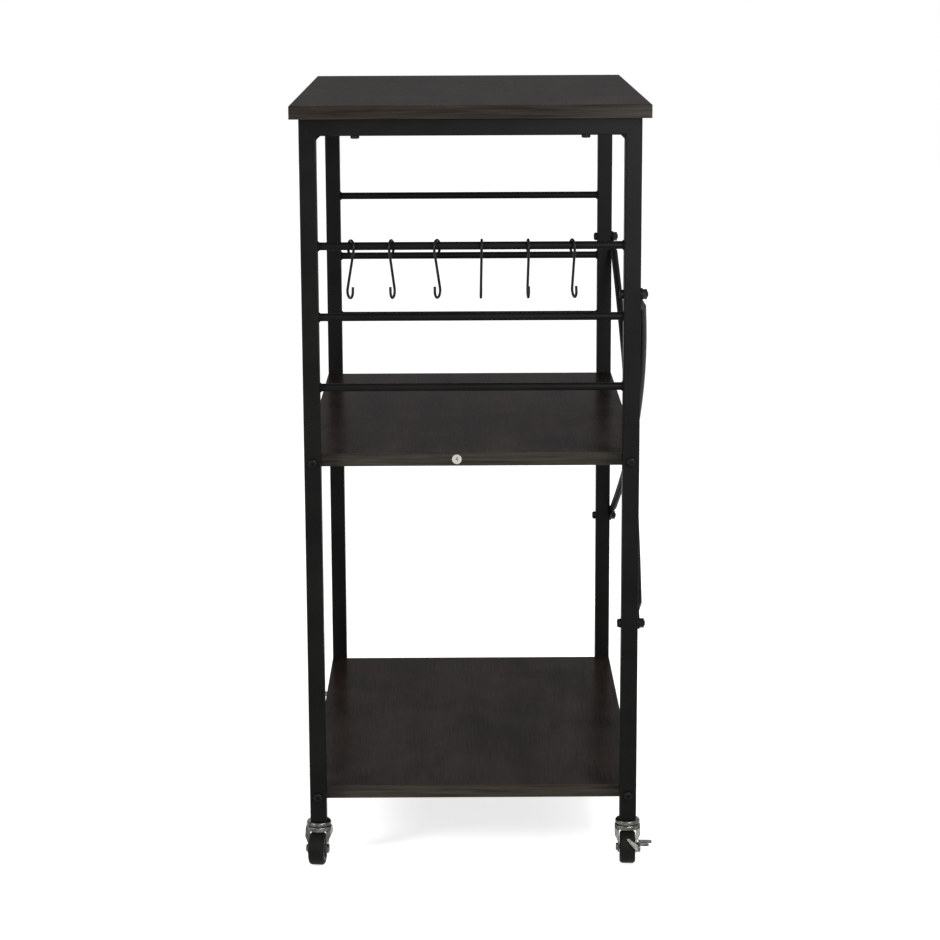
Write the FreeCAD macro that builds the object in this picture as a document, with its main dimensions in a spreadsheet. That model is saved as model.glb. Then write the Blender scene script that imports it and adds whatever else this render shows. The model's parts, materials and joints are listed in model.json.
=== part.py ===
"""Rolling serving cart with a worktop, two shelves, hook rods and a crossed side brace.

Millimetres, +Z up. The origin is on the floor below the middle of the worktop.
-Y is the front end with the hooks, +X the braced long side, -X the open long side.
"""
import FreeCAD, Part
import math
import os

import Sketcher

V = FreeCAD.Vector
UP = V(0, 0, 1)

doc = FreeCAD.newDocument("serving_cart")

# Driving dimensions, one cell each.
SIZES = {
    # Worktop and shelves, melamine-faced board.
    "worktop_width": 400,
    "worktop_length": 600,
    "worktop_height": 880,
    "board_thickness": 15,
    "worktop_overhang": 10,
    "board_edge_break": 0.6,
    "middle_shelf_height": 485,
    "bottom_shelf_height": 88,
    # Welded end frames of square tube.
    "tube_size": 19,
    "tube_wall": 1.2,
    "tube_corner": 1.6,
    "corner_weld": 5,
    # Round rods across each end frame.
    "rod_diameter": 9,
    "upper_rod_drop": 142,
    "rod_pitch": 80,
    "rod_weld": 1.3,
    # Bolts that hold the shelves, and the barrel nuts in the boards.
    "bolt_diameter": 6,
    "hole_clearance": 0.5,
    "thread_play": 0.05,
    "bolt_head_diameter": 10.4,
    "bolt_head_height": 3.3,
    "bolt_head_round": 2.4,
    "socket_width": 4,
    "socket_depth": 2,
    "shelf_bolt_reach": 38,
    "barrel_diameter": 10,
    "barrel_length": 11,
    "barrel_inset": 28,
    # Screws that hold the worktop.
    "screw_diameter": 4,
    "screw_head_diameter": 10,
    "screw_head_height": 3.5,
    "screw_head_round": 1.4,
    "screw_spacing": 256,
    "screw_bite": 11,
    "cross_span": 5.2,
    "cross_width": 1.2,
    "cross_depth": 1.6,
    # Crossed brace on the right side, bowed outwards.
    "brace_above_rod": 24.5,
    "brace_lower_height": 286,
    "brace_rod_diameter": 9,
    "brace_flat_thickness": 2.4,
    "brace_flat_width": 14,
    "brace_flat_reach": 17,
    "brace_taper": 14,
    "inner_brace_bow": 6.3,
    "brace_crossing_gap": 0.3,
    "brace_head_height": 4.6,
    "nut_width": 10,
    "nut_height": 5,
    "bolt_tip": 1.2,
    # Casters.
    "caster_height": 50,
    "stem_diameter": 8,
    "stem_reach": 22,
    "stem_head_diameter": 13,
    "stem_head_height": 1.8,
    "plug_length": 26,
    "plug_play": 0.15,
    "race_diameter": 28.8,
    "race_wall": 1.4,
    "race_roof": 2.2,
    "race_skirt": 4.5,
    "race_round": 2.1,
    "ball_diameter": 3,
    "ball_count": 12,
    "ball_play": 0.15,
    "fork_width": 29.7,
    "fork_sheet": 1.6,
    "fork_skirt": 5.2,
    "fork_round": 1.8,
    "fork_leg_width": 22.6,
    "fork_shoulder_radius": 9,
    "fork_shoulder_drop": 10,
    "fork_slope_start": 7.5,
    "fork_slope_end": 14,
    "fork_eye_radius": 6.5,
    "fork_arch_round": 2.5,
    "wheel_diameter": 38,
    "wheel_trail": 12,
    "tread_width": 18.4,
    "tread_round": 3.6,
    "hub_diameter": 27,
    "hub_rim": 2,
    "hub_boss_diameter": 12,
    "hub_side_gap": 0.25,
    "hub_recess": 2.5,
    "axle_diameter": 6,
    "running_play": 0.06,
    "axle_head_diameter": 9,
    "axle_head_height": 2.4,
    "axle_head_round": 1.4,
    "axle_nut_width": 10,
    "axle_nut_height": 2.2,
    "axle_tip": 0.3,
    "swivel_play": 0.1,
    "front_left_swivel": -6,
    "front_right_swivel": -3,
    "back_left_swivel": 180,
    "back_right_swivel": 180,
    # Brake levers on the front right and back left casters.
    "brake_pivot_ahead": 11,
    "brake_pivot_rise": 1,
    "brake_eye_radius": 4,
    "brake_stud_diameter": 4,
    "brake_collar_diameter": 6.4,
    "brake_head_diameter": 6,
    "brake_head_height": 1,
    "brake_sheet": 1.6,
    "brake_side_gap": 1.2,
    "brake_tongue_angle": 29,
    "brake_tongue_gap": 1,
    "brake_tongue_root": 3,
    "brake_tongue_tip": 1.5,
    "brake_tongue_root_drop": 5,
    "brake_tongue_tip_rise": 4,
    "brake_tongue_tip_side": 1,
    "brake_cheek_radius": 4,
    "brake_tab_rise": 7.4,
    "brake_tab_root": 2.5,
    "lock_tab_start": 2,
    "lock_tab_length": 8,
    "lock_tab_reach": 14,
    "release_tab_start": 2.5,
    "release_tab_length": 6,
    "release_tab_reach": 10.4,
    # Wire hooks on the front upper rod: share of the way from its middle to its end,
    # turn about Z and sideways lean.
    "hook_wire": 3,
    "hook_gap": 0.3,
    "hook_top_radius": 8,
    "hook_end_drop": 6,
    "hook_bottom_radius": 7.5,
    "hook_length": 67.5,
    "hook_tip_rise": 14.6,
    "hook_1_share": -0.7836,
    "hook_2_share": -0.5205,
    "hook_3_share": -0.2222,
    "hook_4_share": 0.0702,
    "hook_5_share": 0.3743,
    "hook_6_share": 0.6637,
    "hook_1_turn": 26,
    "hook_2_turn": -17,
    "hook_3_turn": -23,
    "hook_4_turn": 0,
    "hook_5_turn": 4,
    "hook_6_turn": 16,
    "hook_1_lean": -1.9,
    "hook_2_lean": 1.2,
    "hook_3_lean": 0.5,
    "hook_4_lean": -1,
    "hook_5_lean": 0,
    "hook_6_lean": 2.6,
    # Round paper sticker on the front edge of the middle shelf.
    "sticker_diameter": 11,
    "sticker_thickness": 0.2,
    "sticker_place": -17,
    # How far a cut runs past the faces that it opens.
    "cut_margin": 1,
}

# Sizes that follow from the driving ones.
PLACES = {
    "frame_half_width": "Sizes.worktop_width / 2 - Sizes.worktop_overhang",
    "frame_half_length": "Sizes.worktop_length / 2 - Sizes.worktop_overhang",
    "post_x": "frame_half_width - Sizes.tube_size / 2",
    "post_y": "frame_half_length - Sizes.tube_size / 2",
    "post_inner_x": "frame_half_width - Sizes.tube_size",
    "shelf_half_length": "frame_half_length - Sizes.tube_size",
    "rail_top": "Sizes.worktop_height - Sizes.board_thickness",
    "rail_bottom": "rail_top - Sizes.tube_size",
    "rail_height": "rail_top - Sizes.tube_size / 2",
    "tube_half": "Sizes.tube_size / 2",
    "tube_bore_half": "Sizes.tube_size / 2 - Sizes.tube_wall",
    "tube_bore_corner": "Sizes.tube_corner - Sizes.tube_wall",
    "upper_rod_height": "rail_top - Sizes.upper_rod_drop",
    "middle_rod_height": "upper_rod_height - Sizes.rod_pitch",
    "lower_rod_height": "middle_rod_height - Sizes.rod_pitch",
    "rod_radius": "Sizes.rod_diameter / 2",
    "middle_bolt_height": "Sizes.middle_shelf_height - Sizes.board_thickness / 2",
    "bottom_bolt_height": "Sizes.bottom_shelf_height - Sizes.board_thickness / 2",
    "bolt_radius": "Sizes.bolt_diameter / 2",
    "bolt_hole": "Sizes.bolt_diameter + Sizes.hole_clearance",
    "screw_hole": "Sizes.screw_diameter + Sizes.hole_clearance",
    "barrel_y": "shelf_half_length - Sizes.barrel_inset",
    "barrel_hole": "Sizes.barrel_diameter + Sizes.hole_clearance",
    "brace_upper_height": "middle_rod_height + Sizes.brace_above_rod",
    "brace_rise": "brace_upper_height - Sizes.brace_lower_height",
    "brace_mid_height": "(brace_upper_height + Sizes.brace_lower_height) / 2",
    "brace_half_span": "sqrt(4 * post_y ^ 2 + brace_rise ^ 2) / 2",
    "brace_slope": "atan(brace_rise / (2 * post_y)) / 1 deg",
    "brace_flat_x": "frame_half_width + Sizes.brace_flat_thickness / 2",
    "brace_radius": "Sizes.brace_rod_diameter / 2",
    "brace_end_run": "Sizes.brace_flat_reach + Sizes.brace_taper",
    "outer_brace_bow": "Sizes.inner_brace_bow + Sizes.brace_rod_diameter + Sizes.brace_crossing_gap",
    "fork_top": "Sizes.caster_height - Sizes.race_roof - Sizes.ball_diameter - 2 * Sizes.ball_play",
    "fork_roof": "fork_top - Sizes.fork_sheet",
    "fork_half": "Sizes.fork_width / 2",
    "fork_leg_half": "Sizes.fork_leg_width / 2",
    "fork_leg_bore": "fork_leg_half - Sizes.fork_sheet",
    "fork_cup_bore": "fork_half - Sizes.fork_sheet",
    "axle_height": "Sizes.wheel_diameter / 2",
    "fork_shoulder": "fork_top - Sizes.fork_shoulder_drop",
    "fork_rise": "fork_shoulder - axle_height",
    "fork_reach": "sqrt(fork_rise ^ 2 + Sizes.wheel_trail ^ 2)",
    "fork_taper": "asin((Sizes.fork_shoulder_radius - Sizes.fork_eye_radius) / fork_reach) / 1 deg",
    "fork_lean": "atan(Sizes.wheel_trail / fork_rise) / 1 deg - fork_taper",
    "slope_start": "axle_height + Sizes.fork_slope_start",
    "slope_end": "axle_height + Sizes.fork_slope_end",
    "race_radius": "Sizes.race_diameter / 2",
    "race_bore": "race_radius - Sizes.race_wall",
    "race_ceiling": "Sizes.caster_height - Sizes.race_roof",
    "stem_radius": "Sizes.stem_diameter / 2",
    "ball_ring": "race_bore - Sizes.ball_diameter / 2 - Sizes.ball_play",
    "ball_height": "fork_top + Sizes.ball_play + Sizes.ball_diameter / 2",
    "brake_y": "-Sizes.wheel_trail - Sizes.brake_pivot_ahead",
    "brake_z": "axle_height + Sizes.brake_pivot_rise",
    "brake_plate_in": "fork_leg_half + Sizes.brake_side_gap",
    "brake_plate_out": "brake_plate_in + Sizes.brake_sheet",
    "brake_tab_height": "brake_z + Sizes.brake_tab_rise",
    "tongue_radius": "axle_height + Sizes.brake_tongue_gap + Sizes.brake_sheet / 2",
    "tongue_y": "-Sizes.wheel_trail - tongue_radius * cos(Sizes.brake_tongue_angle)",
    "tongue_z": "axle_height + tongue_radius * sin(Sizes.brake_tongue_angle)",
    "cheek_y": "tongue_y - Sizes.brake_tongue_root_drop * sin(Sizes.brake_tongue_angle)",
    "cheek_z": "tongue_z - Sizes.brake_tongue_root_drop * cos(Sizes.brake_tongue_angle)",
    "hook_wire_radius": "Sizes.hook_wire / 2",
    "hook_apex": "rod_radius + Sizes.hook_gap + hook_wire_radius",
    "hook_top_centre": "hook_apex - Sizes.hook_top_radius",
    "hook_bottom": "hook_apex + hook_wire_radius - Sizes.hook_length + hook_wire_radius",
    "hook_bottom_centre": "hook_bottom + Sizes.hook_bottom_radius",
    "hook_tip": "hook_bottom - hook_wire_radius + Sizes.hook_tip_rise",
    "hook_slant": "asin((Sizes.hook_top_radius + Sizes.hook_bottom_radius)"
    " / (hook_top_centre - hook_bottom_centre)) / 1 deg",
    "hook_end_angle": "asin(Sizes.hook_end_drop / Sizes.hook_top_radius) / 1 deg",
}


def fill_sheet(name, cells):
    """Write one named value per row, with its name beside it."""
    sheet = doc.addObject("Spreadsheet::Sheet", name)
    for row, (alias, value) in enumerate(cells.items(), start=1):
        sheet.set(f"A{row}", alias)
        sheet.set(f"B{row}", value)
        sheet.setAlias(f"B{row}", alias)
        doc.recompute([sheet])
    return sheet


fill_sheet("Sizes", {alias: str(value) for alias, value in SIZES.items()})
places = fill_sheet("Places", {alias: "=" + text for alias, text in PLACES.items()})
doc.recompute()


def cell(text):
    """Spell out which sheet each name of an expression is in."""
    for alias in sorted(SIZES, key=len, reverse=True):
        text = text.replace("$" + alias, "Sizes." + alias)
    for alias in sorted(PLACES, key=len, reverse=True):
        text = text.replace("#" + alias, "Places." + alias)
    return text


def value_of(text):
    """The present value of an expression, in millimetres or degrees."""
    value = places.evalExpression(cell(text))
    return getattr(value, "Value", value)


def bind(item, prop, text):
    item.setExpression(prop, cell(text))


def place(item, x, y, z, yaw="0", pitch="0", roll="0"):
    """Put an object at a point, turned about Z, then Y, then X."""
    bind(item, "Placement", f"placement(vector({x}; {y}; {z}); rotation({yaw}; {pitch}; {roll}))")


def new_body(label):
    body = doc.addObject("PartDesign::Body", label)
    body.Label = label
    return body


def origin_plane(body, plane):
    role = plane + "_Plane"
    return next(feature for feature in body.Origin.OriginFeatures if feature.Role == role)


def new_sketch(body, plane, name, offset=None):
    """A sketch on an origin plane of its body, moved along the plane's normal by the offset."""
    sketch = body.newObject("Sketcher::SketchObject", f"{body.Name}_{name}")
    sketch.AttachmentSupport = (origin_plane(body, plane), [""])
    sketch.MapMode = "FlatFace"
    if offset:
        bind(sketch, "AttachmentOffset.Base.z", offset)
    return sketch


def fix_distance(sketch, kind, geometry, vertex, text):
    """Tie one coordinate of a sketch point to an expression."""
    constraint = Sketcher.Constraint(kind, -1, 1, geometry, vertex, value_of(text))
    number = sketch.addConstraint(constraint)
    bind(sketch, f"Constraints[{number}]", text)


def fix_point(sketch, geometry, vertex, x, y):
    """Tie a sketch point to the two expressions for its coordinates."""
    fix_distance(sketch, "DistanceX", geometry, vertex, x)
    fix_distance(sketch, "DistanceY", geometry, vertex, y)


def fix_radius(sketch, geometry, text):
    number = sketch.addConstraint(Sketcher.Constraint("Radius", geometry, value_of(text)))
    bind(sketch, f"Constraints[{number}]", text)


def circle(sketch, x, y, radius):
    centre = V(value_of(x), value_of(y), 0)
    ring = sketch.addGeometry(Part.Circle(centre, UP, value_of(radius)), False)
    fix_point(sketch, ring, 3, x, y)
    fix_radius(sketch, ring, radius)


def arc_between(centre, radius, start, end):
    """Arc that runs counter-clockwise from one point to another."""
    begin = math.atan2(start.y - centre.y, start.x - centre.x)
    finish = math.atan2(end.y - centre.y, end.x - centre.x)
    if finish < begin:
        finish += 2 * math.pi
    return Part.ArcOfCircle(Part.Circle(centre, UP, radius), begin, finish)


def outline(sketch, corners):
    """Closed outline through the corners, where a third value rounds a corner."""
    count = len(corners)
    spots = [V(value_of(corner[0]), value_of(corner[1]), 0) for corner in corners]
    arrive = list(spots)
    leave = list(spots)
    arcs = {}
    for index, corner in enumerate(corners):
        if len(corner) < 3:
            continue
        radius = value_of(corner[2])
        back = (spots[index - 1] - spots[index]).normalize()
        ahead = (spots[(index + 1) % count] - spots[index]).normalize()
        half = back.getAngle(ahead) / 2
        arrive[index] = spots[index] + back * (radius / math.tan(half))
        leave[index] = spots[index] + ahead * (radius / math.tan(half))
        centre = spots[index] + (back + ahead).normalize() * (radius / math.sin(half))
        turns_left = ahead.cross(back).z > 0
        first, last = (arrive, leave) if turns_left else (leave, arrive)
        arcs[index] = (arc_between(centre, radius, first[index], last[index]), turns_left)
    sides = []
    for index in range(count):
        segment = Part.LineSegment(leave[index], arrive[(index + 1) % count])
        sides.append(sketch.addGeometry(segment, False))
    for index, corner in enumerate(corners):
        before = sides[index - 1]
        after = sides[index]
        if index not in arcs:
            sketch.addConstraint(Sketcher.Constraint("Coincident", before, 2, after, 1))
            fix_point(sketch, after, 1, corner[0], corner[1])
            continue
        shape, turns_left = arcs[index]
        bend = sketch.addGeometry(shape, False)
        into, out = (1, 2) if turns_left else (2, 1)
        sketch.addConstraint(Sketcher.Constraint("Tangent", before, 2, bend, into))
        sketch.addConstraint(Sketcher.Constraint("Tangent", bend, out, after, 1))
        fix_radius(sketch, bend, corner[2])
        tip = sketch.addGeometry(Part.Point(spots[index]), True)
        fix_point(sketch, tip, 1, corner[0], corner[1])
        sketch.addConstraint(Sketcher.Constraint("PointOnObject", tip, 1, before))
        sketch.addConstraint(Sketcher.Constraint("PointOnObject", tip, 1, after))


def band(sketch, ends):
    """Closed outline of a strip around two circles, each given as (x, y, radius)."""
    centres = [V(value_of(x), value_of(y), 0) for x, y, radius in ends]
    radii = [value_of(radius) for x, y, radius in ends]
    along = centres[1] - centres[0]
    lean = math.acos((radii[0] - radii[1]) / along.Length)
    heading = math.atan2(along.y, along.x)
    sides = [V(math.cos(heading + turn), math.sin(heading + turn), 0) for turn in (lean, -lean)]
    touch = [[centres[end] + side * radii[end] for side in sides] for end in (0, 1)]
    near = sketch.addGeometry(arc_between(centres[0], radii[0], touch[0][0], touch[0][1]), False)
    far = sketch.addGeometry(arc_between(centres[1], radii[1], touch[1][1], touch[1][0]), False)
    right = sketch.addGeometry(Part.LineSegment(touch[0][1], touch[1][1]), False)
    left = sketch.addGeometry(Part.LineSegment(touch[1][0], touch[0][0]), False)
    chain = ((near, 2, right, 1), (right, 2, far, 1), (far, 2, left, 1), (left, 2, near, 1))
    for first, first_end, second, second_end in chain:
        joint = Sketcher.Constraint("Tangent", first, first_end, second, second_end)
        sketch.addConstraint(joint)
    for arc, (x, y, radius) in zip((near, far), ends):
        fix_point(sketch, arc, 3, x, y)
        fix_radius(sketch, arc, radius)


def rectangle(sketch, half_x, half_y, corner=None, middle="0"):
    """Rectangle about (0, middle), with rounded corners where a radius is given."""
    spots = []
    for x, y in (("-", "-"), ("", "-"), ("", "+"), ("-", "+")):
        spot = [f"{x}({half_x})", f"({middle}) {y or '+'} ({half_y})"]
        spots.append(spot + [corner] if corner else spot)
    outline(sketch, spots)


def pad(body, sketch, length, symmetric=False, reverse=False):
    feature = body.newObject("PartDesign::Pad", sketch.Name + "_pad")
    feature.Profile = sketch
    bind(feature, "Length", length)
    if symmetric:
        feature.SideType = "Symmetric"
    feature.Reversed = reverse
    return feature


def pocket(body, sketch, depth=None, reverse=False):
    """Cut a sketch into its body, to a depth or through everything on both sides."""
    feature = body.newObject("PartDesign::Pocket", sketch.Name + "_cut")
    feature.Profile = sketch
    if depth:
        bind(feature, "Length", depth)
        feature.Reversed = reverse
    else:
        feature.Type = "ThroughAll"
        feature.SideType = "Symmetric"
    return feature


def revolve(body, sketch, axis="V_Axis"):
    feature = body.newObject("PartDesign::Revolution", sketch.Name + "_turn")
    feature.Profile = sketch
    feature.ReferenceAxis = (sketch, [axis])
    feature.Angle = 360
    return feature


def mirror(body, features, plane):
    feature = body.newObject("PartDesign::Mirrored", body.Name + "_mirror")
    feature.Originals = features
    feature.MirrorPlane = (origin_plane(body, plane), [""])
    body.Tip = feature
    return feature


def hexagon(sketch, width, x="0", y="0"):
    spots = []
    for turn in range(0, 360, 60):
        reach = f"{width} / sqrt(3)"
        spots.append((f"{x} + {reach} * cos({turn})", f"{y} + {reach} * sin({turn})"))
    outline(sketch, spots)


def group(label, master, spots):
    """One node of identical pieces, each a separate solid at its own spot."""
    copies = []
    for index, spot in enumerate(spots, start=1):
        copy = doc.addObject("App::Link", f"{label}_{index}")
        copy.LinkedObject = master
        place(copy, *spot)
        copies.append(copy)
    together = doc.addObject("Part::Compound", label)
    together.Label = label
    together.Links = copies
    return together


ENDS = {"front": "-", "back": "+"}
SIDES = {"left": "-", "right": "+"}
CORNERS = [(end, side) for end in ENDS for side in SIDES]

nodes = []


def keep(item):
    nodes.append(item)
    return item


# Boards.
def make_worktop():
    body = new_body("worktop")
    plan = new_sketch(body, "XY", "plan", "#rail_top")
    rectangle(plan, "$worktop_width / 2", "$worktop_length / 2")
    board = pad(body, plan, "$board_thickness")
    pilots = new_sketch(body, "XY", "pilots", "#rail_top")
    for x in ("-", "+"):
        for y in ("-", "+"):
            circle(pilots, f"{x}$screw_spacing / 2", f"{y}#post_y", "#screw_hole / 2")
    drilled = pocket(body, pilots, "$screw_bite + $hole_clearance", reverse=True)
    doc.recompute()
    top = value_of("$worktop_height")
    edges = []
    for index, edge in enumerate(drilled.Shape.Edges, start=1):
        if edge.BoundBox.ZMin > top - value_of("$board_edge_break"):
            edges.append(f"Edge{index}")
    chamfer = body.newObject("PartDesign::Chamfer", "worktop_edge")
    chamfer.Base = (drilled, edges)
    bind(chamfer, "Size", "$board_edge_break")
    return body


def make_shelf(label, top):
    body = new_body(label)
    plan = new_sketch(body, "XY", "plan", f"{top} - $board_thickness")
    rectangle(plan, "#frame_half_width", "#shelf_half_length")
    pad(body, plan, "$board_thickness")
    bores = new_sketch(body, "XZ", "bores", "#shelf_half_length")
    wells = new_sketch(body, "XY", "wells", f"{top} - $board_thickness")
    for x in ("-", "+"):
        circle(bores, f"{x}#post_x", f"{top} - $board_thickness / 2", "#bolt_hole / 2")
        circle(wells, f"{x}#post_x", "-#barrel_y", "#barrel_hole / 2")
    bored = pocket(body, bores, "$shelf_bolt_reach + $hole_clearance")
    welled = pocket(body, wells, "($board_thickness + $barrel_length) / 2", reverse=True)
    mirror(body, [bored, welled], "XZ")
    return body


keep(make_worktop())
keep(make_shelf("middle_shelf", "$middle_shelf_height"))
keep(make_shelf("bottom_shelf", "$bottom_shelf_height"))


# End frames.
def tube_section(sketch, middle="0"):
    rectangle(sketch, "#tube_half", "#tube_half", "$tube_corner", middle)
    rectangle(sketch, "#tube_bore_half", "#tube_bore_half", "#tube_bore_corner", middle)


def make_post(end, side):
    """Post with its mitre towards the middle of the cart, local -X."""
    body = new_body(f"{end}_{side}_post")
    section = new_sketch(body, "XY", "section", "$caster_height")
    tube_section(section)
    pad(body, section, "#rail_top - $caster_height")
    mitre = new_sketch(body, "XZ", "mitre")
    inside = "-#tube_half - $cut_margin"
    above = "#rail_top + $cut_margin"
    corners = [(inside, "#rail_bottom - $cut_margin"), ("#tube_half + $cut_margin", above)]
    outline(mitre, corners + [(inside, above)])
    pocket(body, mitre)
    shelf_holes = new_sketch(body, "XZ", "shelf_holes")
    circle(shelf_holes, "0", "#middle_bolt_height", "#bolt_hole / 2")
    circle(shelf_holes, "0", "#bottom_bolt_height", "#bolt_hole / 2")
    pocket(body, shelf_holes)
    if side == "right":
        brace_holes = new_sketch(body, "YZ", "brace_holes")
        circle(brace_holes, "0", "#brace_upper_height", "#bolt_hole / 2")
        circle(brace_holes, "0", "$brace_lower_height", "#bolt_hole / 2")
        pocket(body, brace_holes)
    yaw = "0" if side == "right" else "180"
    place(body, SIDES[side] + "#post_x", ENDS[end] + "#post_y", "0", yaw)
    return body


def make_rail(end):
    body = new_body(f"{end}_top_rail")
    section = new_sketch(body, "YZ", "section")
    tube_section(section, "#rail_height")
    pad(body, section, "2 * #frame_half_width", symmetric=True)
    mitres = new_sketch(body, "XZ", "mitres")
    low = "#rail_bottom - $cut_margin"
    for side in ("-", "+"):
        inner = f"{side}(#post_inner_x - $cut_margin)"
        outer = f"{side}(#frame_half_width + $cut_margin)"
        outline(mitres, [(inner, low), (outer, low), (outer, "#rail_top + $cut_margin")])
    pocket(body, mitres)
    welds = new_sketch(body, "XZ", "welds")
    for side in ("-", "+"):
        face = f"{side}#post_inner_x"
        inner = f"{side}(#post_inner_x - $corner_weld)"
        corners = [(face, "#rail_bottom"), (inner, "#rail_bottom")]
        outline(welds, corners + [(face, "#rail_bottom - $corner_weld")])
    pad(body, welds, "$tube_size - 2 * $tube_corner", symmetric=True)
    holes = new_sketch(body, "XY", "screw_holes")
    for side in ("-", "+"):
        circle(holes, f"{side}$screw_spacing / 2", "0", "#screw_hole / 2")
    pocket(body, holes)
    place(body, "0", ENDS[end] + "#post_y", "0")
    return body


def make_rod(end, level):
    """Round rod along X, with a weld flare at each end."""
    body = new_body(f"{end}_{level}_rod")
    profile = new_sketch(body, "XZ", "profile")
    flared = "#rod_radius + $rod_weld"
    corners = [("-#post_inner_x", "0"), ("-#post_inner_x", flared)]
    corners += [("-#post_inner_x + $rod_weld", "#rod_radius")]
    corners += [("#post_inner_x - $rod_weld", "#rod_radius")]
    corners += [("#post_inner_x", flared), ("#post_inner_x", "0")]
    outline(profile, corners)
    revolve(body, profile, "H_Axis")
    place(body, "0", ENDS[end] + "#post_y", f"#{level}_rod_height")
    return body


for end, side in CORNERS:
    keep(make_post(end, side))
for end in ENDS:
    keep(make_rail(end))
    for level in ("upper", "middle", "lower"):
        keep(make_rod(end, level))


# Brace rods.
def flatten_end(body, sign, name, run, level, turn):
    """Taper one end of the rod from round to flat, and add the flat tab round its bolt."""
    round_end = new_sketch(body, "YZ", name + "_round", sign + run)
    bind(round_end, "AttachmentOffset.Base.y", level)
    round_end.AttachmentOffset = FreeCAD.Placement(V(), FreeCAD.Rotation(V(1, 0, 0), 1))
    bind(round_end, "AttachmentOffset.Rotation.Angle", sign + turn)
    circle(round_end, "0", "0", "#brace_radius")
    inner = f"{sign}(#brace_half_span - $brace_flat_reach)"
    flat_end = new_sketch(body, "YZ", name + "_flat", inner)
    oval = Part.Ellipse(V(), value_of("$brace_flat_width / 2"), value_of("$brace_flat_thickness / 2"))
    ring = flat_end.addGeometry(oval, False)
    flat_end.exposeInternalGeometry(ring)
    flat_end.addConstraint(Sketcher.Constraint("Coincident", ring, 3, -1, 1))
    for axis, kind, size in ((1, "DistanceX", "width"), (2, "DistanceY", "thickness")):
        text = f"$brace_flat_{size}"
        length = Sketcher.Constraint(kind, ring + axis, 2, ring + axis, 1, value_of(text))
        number = flat_end.addConstraint(length)
        bind(flat_end, f"Constraints[{number}]", text)
    taper = body.newObject("PartDesign::AdditiveLoft", f"{body.Name}_{name}_taper")
    taper.Profile = round_end
    taper.Sections = [flat_end]
    tab = new_sketch(body, "XY", name + "_tab")
    half = "$brace_flat_width / 2"
    band(tab, [(inner, "0", half), (sign + "#brace_half_span", "0", half)])
    pad(body, tab, "$brace_flat_thickness", symmetric=True)


def make_brace_rod(label, bow, pitch):
    """Bowed rod with flattened ends, along local X, with the bow towards local Z."""
    body = new_body(label)
    radius = f"((#brace_half_span ^ 2 + {bow} ^ 2) / (2 * {bow}))"
    run = "(#brace_half_span - #brace_end_run)"
    turn = f"asin({run} / {radius})"
    level = f"({radius} * cos({turn}) - {radius} + {bow})"
    section = new_sketch(body, "YZ", "section")
    circle(section, "0", bow, "#brace_radius")
    middle = value_of(f"{bow} - {radius}")
    line = Part.LineSegment(V(-1, middle, 0), V(1, middle, 0))
    axis = section.addGeometry(line, True)
    fix_point(section, axis, 1, "-1", f"{bow} - {radius}")
    fix_point(section, axis, 2, "1", f"{bow} - {radius}")
    curve = revolve(body, section, "Axis0")
    curve.Midplane = True
    bind(curve, "Angle", f"2 * {turn}")
    for sign, name in (("-", "low"), ("+", "high")):
        flatten_end(body, sign, name, run, level, turn)
    holes = new_sketch(body, "XY", "holes")
    for sign in ("-", "+"):
        circle(holes, sign + "#brace_half_span", "0", "#bolt_hole / 2")
    pocket(body, holes)
    place(body, "#brace_flat_x", "0", "#brace_mid_height", "90", pitch, "90")
    return body


keep(make_brace_rod("outer_brace_rod", "#outer_brace_bow", "#brace_slope"))
keep(make_brace_rod("inner_brace_rod", "$inner_brace_bow", "-#brace_slope"))


# Fasteners, each along local +Z from its seat at the origin.
def make_bolt(label, head_diameter, head_height, head_round, shank_diameter, length):
    body = new_body(label)
    profile = new_sketch(body, "XZ", "profile")
    shank = f"{shank_diameter} / 2"
    corners = [("0", f"-{head_height}"), (f"{head_diameter} / 2", f"-{head_height}", head_round)]
    corners += [(f"{head_diameter} / 2", "0"), (shank, "0"), (shank, length), ("0", length)]
    outline(profile, corners)
    revolve(body, profile)
    return body


def cut_socket(body, head_height):
    """Hexagonal socket in the bolt's head."""
    socket = new_sketch(body, "XY", "socket", f"-{head_height}")
    hexagon(socket, "$socket_width")
    pocket(body, socket, "$socket_depth", reverse=True)


def cut_cross(body, head_height):
    """Cross recess in a screw's head."""
    cross = new_sketch(body, "XY", "cross", f"-{head_height}")
    arm = "$cross_width / 2"
    end = "$cross_span / 2"
    corners = [(arm, arm), (end, arm), (end, "-" + arm), (arm, "-" + arm)]
    corners += [(arm, "-" + end), ("-" + arm, "-" + end), ("-" + arm, "-" + arm)]
    corners += [("-" + end, "-" + arm), ("-" + end, arm), ("-" + arm, arm)]
    corners += [("-" + arm, end), (arm, end)]
    outline(cross, corners)
    pocket(body, cross, "$cross_depth", reverse=True)


def make_nut(label, width, height, bore):
    body = new_body(label)
    face = new_sketch(body, "XY", "face")
    hexagon(face, width)
    circle(face, "0", "0", bore)
    pad(body, face, height)
    return body


def make_shelf_bolts():
    length = "$tube_size + $shelf_bolt_reach"
    head = ("$bolt_head_diameter", "$bolt_head_height", "$bolt_head_round")
    bolt = make_bolt("shelf_bolt", *head, "$bolt_diameter", length)
    cut_socket(bolt, "$bolt_head_height")
    spots = []
    for end, side in CORNERS:
        for level in ("middle", "bottom"):
            x = SIDES[side] + "#post_x"
            y = ENDS[end] + "#frame_half_length"
            roll = "-90" if end == "front" else "90"
            spots.append((x, y, f"#{level}_bolt_height", "0", "0", roll))
    return group("shelf_bolts", bolt, spots)


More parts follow.
